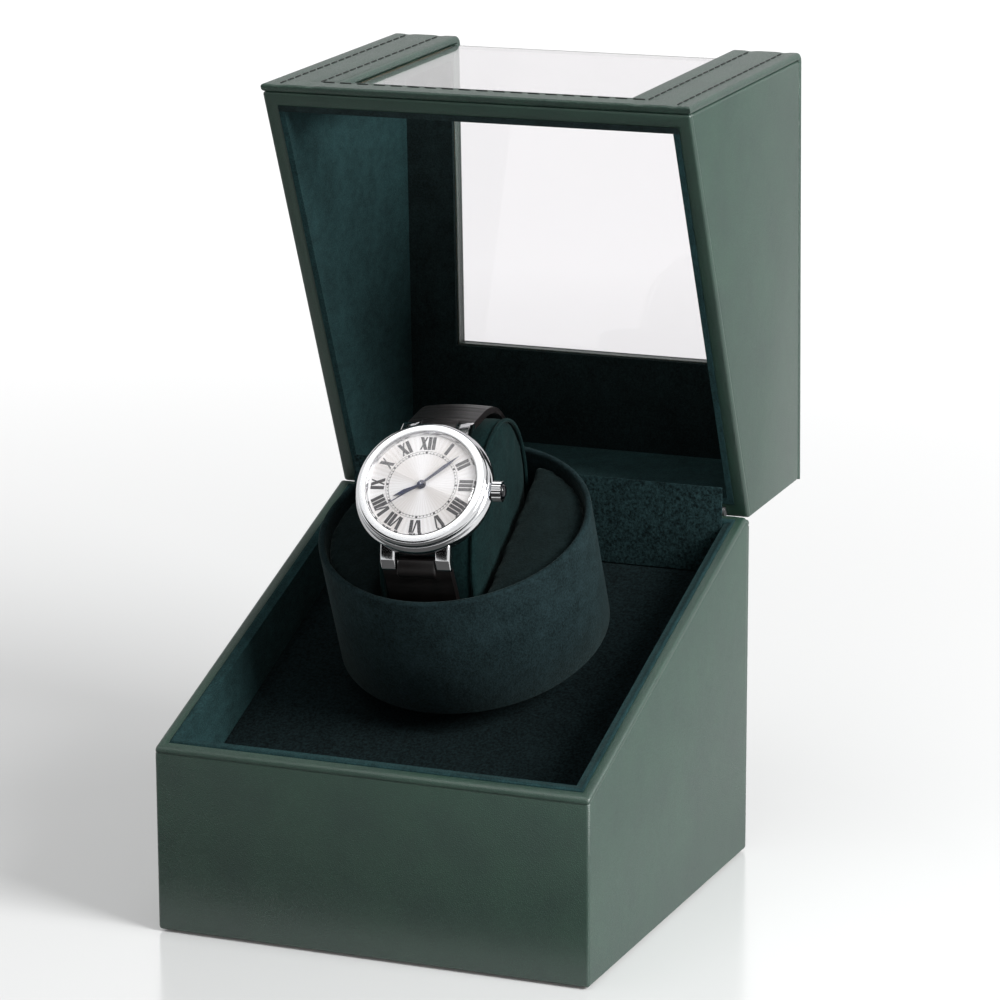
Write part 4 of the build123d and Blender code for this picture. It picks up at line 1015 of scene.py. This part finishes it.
def strap_ring(turn):
    """Point of the strap's oval at an angle."""
    return Vector((strap_mid[0] + strap_l * math.cos(turn), strap_mid[1] + strap_th * math.sin(turn)))


def strap_run(a, b, share):
    """Point and outward direction at a share of a straight run."""
    along = (b - a).normalized()
    return a.lerp(b, share), Vector((along.y, -along.x))


def strap_path(share):
    """Point and outward direction of the strap's outside, from the low lugs round to the high ones."""
    start, end = math.radians(161), math.radians(36.6 + 360)
    root = Vector((23.1 * mm, -6.4 * mm))
    lead = 0.085                            # share of the path that each straight run takes
    if share < lead:
        return strap_run(Vector((-root.x, root.y)), strap_ring(start), share / lead)
    if share > 1 - lead:
        return strap_run(strap_ring(end), root, (share - 1 + lead) / lead)
    turn = start + (end - start) * (share - lead) / (1 - 2 * lead)
    out = Vector((strap_th * math.cos(turn), strap_l * math.sin(turn))).normalized()
    return strap_ring(turn), out


class WINDER_OT_strap(bpy.types.Operator):
    """Scaled leather strap: crowned across, with grooves between its scales and a flat back"""
    bl_idname = "winder.strap"
    bl_label = "Strap"

    def execute(self, context):
        steps, across = 240, 12
        bm = bmesh.new()
        bmesh.ops.create_grid(bm, x_segments=across, y_segments=steps, size=0.5)
        bmesh.ops.translate(bm, vec=(0, 0.5, 0), verts=bm.verts)
        back = bmesh.ops.duplicate(bm, geom=bm.verts[:] + bm.edges[:] + bm.faces[:])["geom"]
        for v in back:
            if isinstance(v, bmesh.types.BMVert):
                v.co.z = -1
        bmesh.ops.bridge_loops(bm, edges=[e for e in bm.edges if e.is_boundary])
        scales = 46
        groove_deep = 0.28 * mm
        groove_from = 0.8               # share of a scale's half length at which its groove starts
        for v in bm.verts:
            x, share, layer = v.co
            point, out = strap_path(min(max(share, 0), 1))
            crown = 0.6 * mm * (2 * x) ** 2
            off_scale = abs((share * scales) % 1 - 0.5) * 2
            groove = groove_deep * max(0.0, off_scale - groove_from) / (1 - groove_from)
            if abs(x) >= 0.42:          # the grooves run out at the strap's edges
                groove *= 0.2
            sunk = crown + groove if layer == 0 else strap_thick
            side = 1 - 0.03 * (layer == 0)
            v.co = (x * 2 * strap_half_w * side, point.x - out.x * sunk, point.y - out.y * sunk)
        tongue = 5.6 * mm               # half the width of the strap's ends between the lugs
        for s, foot in ((-1, -11.2 * mm), (1, -9.2 * mm)):
            y0, y1 = sorted((s * 18.4 * mm, s * 20.4 * mm))
            block(bm, (-tongue, y0, foot), (tongue, y1, -6.3 * mm), 0.4 * mm, 2)
            y0, y1 = sorted((s * 19.9 * mm, s * 24.2 * mm))
            made = block(bm, (-tongue, y0, foot), (tongue, y1, -5.1 * mm), 0.7 * mm, 3)
            for v in made:
                if v.co.z > -8 * mm:
                    v.co.z -= 0.75 * max(0.0, abs(v.co.y) - bar_y)
        finish_piece(bm, "strap_band", "strap", "cuff", watch, ["strap"], 50)
        return {"FINISHED"}


# ------------------------------------------------------------------ watch
case_r = 19.75 * mm
bore_r = 15.9 * mm
LUG = ((-4.8, 4.9), (-0.2, 2.7), (1.4, 0.3),
       (1.1, -1.3), (-1.4, -1.1), (-4.8, 0.3))   # outline round a spring bar, in millimetres


class WINDER_OT_case(bpy.types.Operator):
    """Polished round case with a domed bezel and four lugs"""
    bl_idname = "winder.case"
    bl_label = "Watch Case"

    def execute(self, context):
        belly_mid = 16.4 * mm
        rehaut_r = 15.3 * mm            # the sloping ring between dial and glass
        inner_floor = -6.4 * mm
        back = [(0, -7.6 * mm), (13.5 * mm, -7.6 * mm), (14.6 * mm, -7.4 * mm)]
        belly = arc((belly_mid, -3.2 * mm), case_r - belly_mid, -63, 42, 16)
        step = [(18.7 * mm, -0.85 * mm), (18.68 * mm, -0.6 * mm)]
        bezel = arc((17.5 * mm, 0.1 * mm), 1.35 * mm, -25, 100, 12)
        flange = [(16.5 * mm, 1.5 * mm), (16.05 * mm, 1.45 * mm), (bore_r, 1.2 * mm),
                  (rehaut_r, 0.45 * mm), (rehaut_r, 0.04 * mm), (bore_r, 0.03 * mm),
                  (bore_r, inner_floor), (0, inner_floor)]
        bm = bmesh.new()
        lathe(bm, back + belly + step + bezel + flange, 128)
        lug_in, lug_w = 5.8 * mm, 4.2 * mm
        for sx in (-1, 1):
            for sy in (-1, 1):
                outline = [bm.verts.new((sx * lug_in, sy * (bar_y + y * mm), bar_n + n * mm))
                           for y, n in LUG]
                lug = bm.faces.new(outline)
                far = verts_in(bmesh.ops.extrude_face_region(bm, geom=[lug])["geom"])
                bmesh.ops.translate(bm, vec=(sx * lug_w, 0, 0), verts=far)
                edges = {e for v in outline + far for e in v.link_edges}
                round_edges(bm, edges, 0.4 * mm, 3)
        finish_piece(bm, "case_polished", "polished", "cuff", watch, ["watch_case"], 40)
        return {"FINISHED"}


STROKES = {                                 # each letter's strokes, as (shift, lean, weight)
    "I": [(0.0, 0.0, 1.0)],
    "V": [(-0.3, 0.22, 1.0), (0.3, -0.22, 0.45)],
    "X": [(0.0, 0.42, 1.0), (0.0, -0.42, 0.45)],
}
WIDTHS = {"I": 0.62, "V": 1.1, "X": 1.15}   # in half numeral heights
HOURS = ["XII", "I", "II", "III", "IIII", "V", "VI", "VII", "VIII", "IX", "X", "XI"]


def numeral(bm, text, place, height, thick):
    """Upright roman numeral, standing on the dial with its foot towards the middle."""
    unit = 0.5 * height
    total = sum(WIDTHS[c] for c in text)
    left = -total / 2
    for letter in text:
        middle = left + WIDTHS[letter] / 2
        left += WIDTHS[letter]
        for shift, lean, weight in STROKES[letter]:
            w = 0.5 * unit * weight
            made = block(bm, (-w / 2, -height / 2, 0), (w / 2, height / 2, thick))
            for v in made:
                v.co.x += (middle + shift) * unit - lean * unit * v.co.y / (height / 2) * 0.9
            bmesh.ops.transform(bm, matrix=place, verts=made)


class WINDER_OT_dial_marks(bpy.types.Operator):
    """Printed hour numerals, and minute marks between two rings, on the dial"""
    bl_idname = "winder.dial_marks"
    bl_label = "Dial Marks"

    def execute(self, context):
        bm = bmesh.new()
        thick = 0.05 * mm
        line = 0.07 * mm
        numeral_r, numeral_h = 12.7 * mm, 3.9 * mm
        for hour, text in enumerate(HOURS):
            turn = Matrix.Rotation(-math.radians(30 * hour), 4, "Z")
            numeral(bm, text, turn @ Matrix.Translation((0, numeral_r, 0)), numeral_h, thick)
        for minute in range(60):
            w, end = (0.3 * mm, 10.15 * mm) if minute % 5 == 0 else (0.12 * mm, 9.9 * mm)
            turn = Matrix.Rotation(-math.radians(6 * minute), 4, "Z")
            made = block(bm, (-w, 9.6 * mm, 0), (w, end, thick))
            bmesh.ops.transform(bm, matrix=turn, verts=made)
        for r in (9.5 * mm, 10.2 * mm):
            lathe(bm, [(r, 0), (r + line, 0), (r + line, thick), (r, thick), (r, 0)], 96)
        finish_piece(bm, "dial_marks", "ink", "cuff", watch)
        return {"FINISHED"}


class WINDER_OT_crown(bpy.types.Operator):
    """Fluted winding crown with a dark polished cap"""
    bl_idname = "winder.crown"
    bl_label = "Crown"

    def execute(self, context):
        place = watch @ Matrix.Translation((case_r, 0, -3 * mm)) @ Matrix.Rotation(math.pi / 2, 4, "Y")
        bm = bmesh.new()
        r, t = 2.85 * mm, 2.75 * mm
        gap = 0.15 * mm                 # between the grip and the case
        made = bmesh.ops.create_circle(bm, segments=72, radius=r, cap_ends=True)["verts"]
        for k, v in enumerate(made):
            v.co *= 1 - 0.05 * (k % 3 == 0)
        lifted = bmesh.ops.extrude_face_region(bm, geom=bm.faces[:])["geom"]
        bmesh.ops.translate(bm, vec=(0, 0, t - gap), verts=verts_in(lifted))
        bmesh.ops.translate(bm, vec=(0, 0, gap), verts=bm.verts)
        stem_r, stem_in, stem_out = 0.85 * mm, -8 * mm, 0.2 * mm
        lathe(bm, [(0, stem_in), (stem_r, stem_in), (stem_r, stem_out), (0, stem_out)], 24)
        finish_piece(bm, "crown_grip", "polished", "crown", place, ["crown"], 30)
        bm = bmesh.new()
        sunk = t - 0.2 * mm
        dome_r = 1.3 * mm
        lathe(bm, [(0, sunk), (1.9 * mm, sunk)] + arc((0.6 * mm, t), dome_r, 0, 90, 8)
              + [(0, t + dome_r)], 40)
        bmesh.ops.scale(bm, vec=(1, 1, 0.68), verts=bm.verts, space=Matrix.Translation((0, 0, -t)))
        finish_piece(bm, "crown_cap", "cabochon", "crown", place, (), 60)
        return {"FINISHED"}


# ------------------------------------------------------------------ finishes for the CAD nodes
FINISHES = {
    "board": ["base_board", "lid_board", "rail_left", "rail_right", "bottom_plate"],
    "suede": ["lid_wall_liner"],
    "frame_suede_painted_shade": ["lid_frame_liner"],
    "deck_suede_painted_shade": ["deck"],
    "felt": ["base_felt"],
    "pane": ["window_pane"],
    "steel": ["plate_screw_left", "plate_screw_right", "drive_screw_left", "drive_screw_right",
              "motor_screw_left", "motor_screw_right", "hinge_pin_left", "hinge_pin_right", "spindle",
              "retaining_clip"],
    "hinge": ["lower_leaf_left", "lower_leaf_right", "upper_leaf_left", "upper_leaf_right"],
    "polished": ["buckle"],
    "plate": ["drive_plate"],
    "brass": ["spindle_bush"],
    "rhodium": ["movement"],
    "motor": ["gearmotor"],
    "black_plastic": ["rear_panel", "dc_jack", "switch_body", "rocker"],
    "cup_plastic": ["cup_floor", "cup_wall", "hub"],
    "gear_plastic": ["drum_gear", "pinion"],
    "circuit": ["control_board"],
    "lead": ["motor_lead"],
    "crystal": ["crystal"],
    "dial": ["dial"],
    "blued": ["hour_hand", "minute_hand", "second_hand"],
}


class WINDER_OT_finishes(bpy.types.Operator):
    """Gives each carried-over part its own finish"""
    bl_idname = "winder.finishes"
    bl_label = "Part Finishes"

    def execute(self, context):
        for key, names in FINISHES.items():
            for name in names:
                slots = nodes[name].data.materials
                slots.clear()
                slots.append(material(key))
        return {"FINISHED"}


# ------------------------------------------------------------------ stage
def area_lamp(name, power, size, place, aim):
    """Square white lamp at a place, turned to what it lights."""
    lamp = bpy.data.lights.new(name, "AREA")
    lamp.energy = power
    lamp.shape = "SQUARE"
    lamp.size = size
    holder = bpy.data.objects.new(name, lamp)
    bpy.context.scene.collection.objects.link(holder)
    holder.location = place
    holder.rotation_euler = (Vector(aim) - Vector(place)).to_track_quat("-Z", "Y").to_euler()


def gloss_card(name, width, height, place, aim, strength=0.0):
    """One-sided card that only shows as a reflection: black, or glowing with a strength."""
    bm = bmesh.new()
    bmesh.ops.create_grid(bm, x_segments=1, y_segments=1, size=0.5)
    turn = (Vector(aim) - Vector(place)).to_track_quat("Z", "Y").to_matrix().to_4x4()
    bm.transform(Matrix.Translation(place) @ turn @ Matrix.Diagonal((width, height, 1, 1)))
    made, tree, shader = new_material(name, Roughness=1.0, Specular_IOR_Level=0.0,
                                      Emission_Strength=strength)
    shader.inputs["Base Color"].default_value = colour("#0A0A0A")
    shader.inputs["Emission Color"].default_value = colour("#FFFFFF")
    behind = add_node(tree, "ShaderNodeNewGeometry").outputs["Backfacing"]
    mix_surface(tree, behind, shader, add_node(tree, "ShaderNodeBsdfTransparent"))
    card = new_object(bm, name, made)
    for way in ("camera", "diffuse", "transmission", "shadow"):
        setattr(card, "visible_" + way, False)
    return card


def white_surround(strength):
    """World: white to the camera, in gloss and through glass, and a softer even light for the rest."""
    world = bpy.data.worlds.new("studio")
    bpy.context.scene.world = world
    world.use_nodes = True
    tree = world.node_tree
    tree.nodes.clear()
    path = add_node(tree, "ShaderNodeLightPath")
    indirect = maths(tree, "MAXIMUM", path.outputs["Is Glossy Ray"], path.outputs["Is Transmission Ray"])
    seen = maths(tree, "MAXIMUM", path.outputs["Is Camera Ray"], indirect)
    level = spread(tree, seen, strength, 1.0)
    light = add_node(tree, "ShaderNodeBackground", {"Color": (1, 1, 1, 1), "Strength": level})
    add_node(tree, "ShaderNodeOutputWorld", {"Surface": light.outputs[0]})


def glossy_floor(tint):
    """White lacquered table: it mirrors what stands on it softly, and whitens away from it."""
    made, tree, shader = new_material("white_lacquer_table", Roughness=0.16, IOR=1.75)
    shader.inputs["Base Color"].default_value = (*tint, 1.0)
    path = add_node(tree, "ShaderNodeLightPath")
    seen = maths(tree, "MAXIMUM", path.outputs["Is Camera Ray"], path.outputs["Is Transmission Ray"])
    away = add_node(tree, "ShaderNodeVectorMath", {0: object_coords(tree)}, operation="LENGTH")
    level = spread(tree, away.outputs["Value"], 0.06, 0.5, start=0.15, end=1.0)
    strength = maths(tree, "MULTIPLY", seen, level)
    glow = add_node(tree, "ShaderNodeEmission", {"Color": (1, 1, 1, 1), "Strength": strength})
    both = add_node(tree, "ShaderNodeAddShader", {0: shader.outputs[0], 1: glow.outputs[0]})
    tree.links.new(both.outputs[0], tree.nodes["Material Output"].inputs["Surface"])
    return made


def place_camera(stage):
    """The scene's camera, turned and tilted by the stage's angles, at a distance from what it looks at."""
    looked_at = Vector((12.08 * mm, 1.45 * mm, 116.87 * mm))
    distance = 1.18
    camera = bpy.data.cameras.new("camera")
    camera.lens = stage.lens
    camera.sensor_width = 36
    camera.clip_start = 0.01
    holder = bpy.data.objects.new("camera", camera)
    bpy.context.scene.collection.objects.link(holder)
    az, el, roll = stage.azimuth, stage.elevation, stage.roll
    back = Vector((math.sin(az) * math.cos(el), -math.cos(az) * math.cos(el), math.sin(el)))
    right = Vector((math.cos(az), math.sin(az), 0))
    up = back.cross(right)
    across = right * math.cos(roll) + up * math.sin(roll)
    above = up * math.cos(roll) - right * math.sin(roll)
    turn = Matrix((across, above, back)).transposed().to_4x4()
    holder.matrix_world = Matrix.Translation(looked_at + back * distance) @ turn
    bpy.context.scene.camera = holder


class WINDER_OT_stage(bpy.types.Operator):
    """White floor, soft lamps and the camera"""
    bl_idname = "winder.stage"
    bl_label = "Stage"

    def execute(self, context):
        stage = context.scene.winder_stage
        bm = bmesh.new()
        bmesh.ops.create_grid(bm, x_segments=1, y_segments=1, size=6.0)
        floor = new_object(bm, "floor", glossy_floor(stage.floor))
        white_surround(stage.sky)
        lit = (0, 0, 0.1)
        area_lamp("key_lamp", stage.key_power, 0.55, (1.0, -0.25, 0.7), lit)
        area_lamp("top_lamp", stage.top_power, 0.9, (-0.1, -0.3, 1.4), lit)
        middle = (0, 0, 0.14)
        gloss_card("front_card", 1.3, 0.7, (-0.5, -1.0, 0.55), middle)
        gloss_card("back_card", 0.35, 0.35, (0.75, 0.45, 0.45), middle)
        gloss_card("ceiling_card", 1.8, 1.5, (-0.65, 0.5, 1.5), middle, 0.12)
        gloss_card("front_floor_card", 1.6, 1.4, (-0.4, -0.78, 0.001), (-0.4, -0.78, 1), 0.12)
        gloss_card("side_floor_card", 0.7, 1.2, (0.45, 0.45, 0.001), (0.45, 0.45, 1), 1.05)
        place_camera(stage)
        context.scene.view_settings.view_transform = "Standard"
        return {"FINISHED"}


OPERATORS = [WINDER_OT_stage, WINDER_OT_finishes, WINDER_OT_base_wrap, WINDER_OT_lid_wrap,
             WINDER_OT_window_surround, WINDER_OT_window_reveal, WINDER_OT_stitches,
             WINDER_OT_linings, WINDER_OT_drum, WINDER_OT_inserts, WINDER_OT_cushion,
             WINDER_OT_strap, WINDER_OT_case, WINDER_OT_dial_marks, WINDER_OT_crown]


class WINDER_PT_panel(bpy.types.Panel):
    bl_idname = "WINDER_PT_panel"
    bl_label = "Watch Winder Box"
    bl_space_type = "VIEW_3D"
    bl_region_type = "UI"
    bl_category = "Winder"

    def draw(self, context):
        for group in (context.scene.winder_sizes, context.scene.winder_stage):
            box = self.layout.box()
            for name in group.__annotations__:
                box.prop(group, name)
        for operator in OPERATORS:
            self.layout.operator(operator.bl_idname)


CLASSES = [WinderSizes, WinderStage] + OPERATORS + [WINDER_PT_panel]


def register():
    for each in CLASSES:
        bpy.utils.register_class(each)
    bpy.types.Scene.winder_sizes = bpy.props.PointerProperty(type=WinderSizes)
    bpy.types.Scene.winder_stage = bpy.props.PointerProperty(type=WinderStage)


def unregister():
    del bpy.types.Scene.winder_sizes
    del bpy.types.Scene.winder_stage
    for each in reversed(CLASSES):
        bpy.utils.unregister_class(each)


def main():
    register()
    for operator in OPERATORS:
        getattr(bpy.ops.winder, operator.bl_idname.split(".")[1])()


if __name__ == "__main__":
    main()
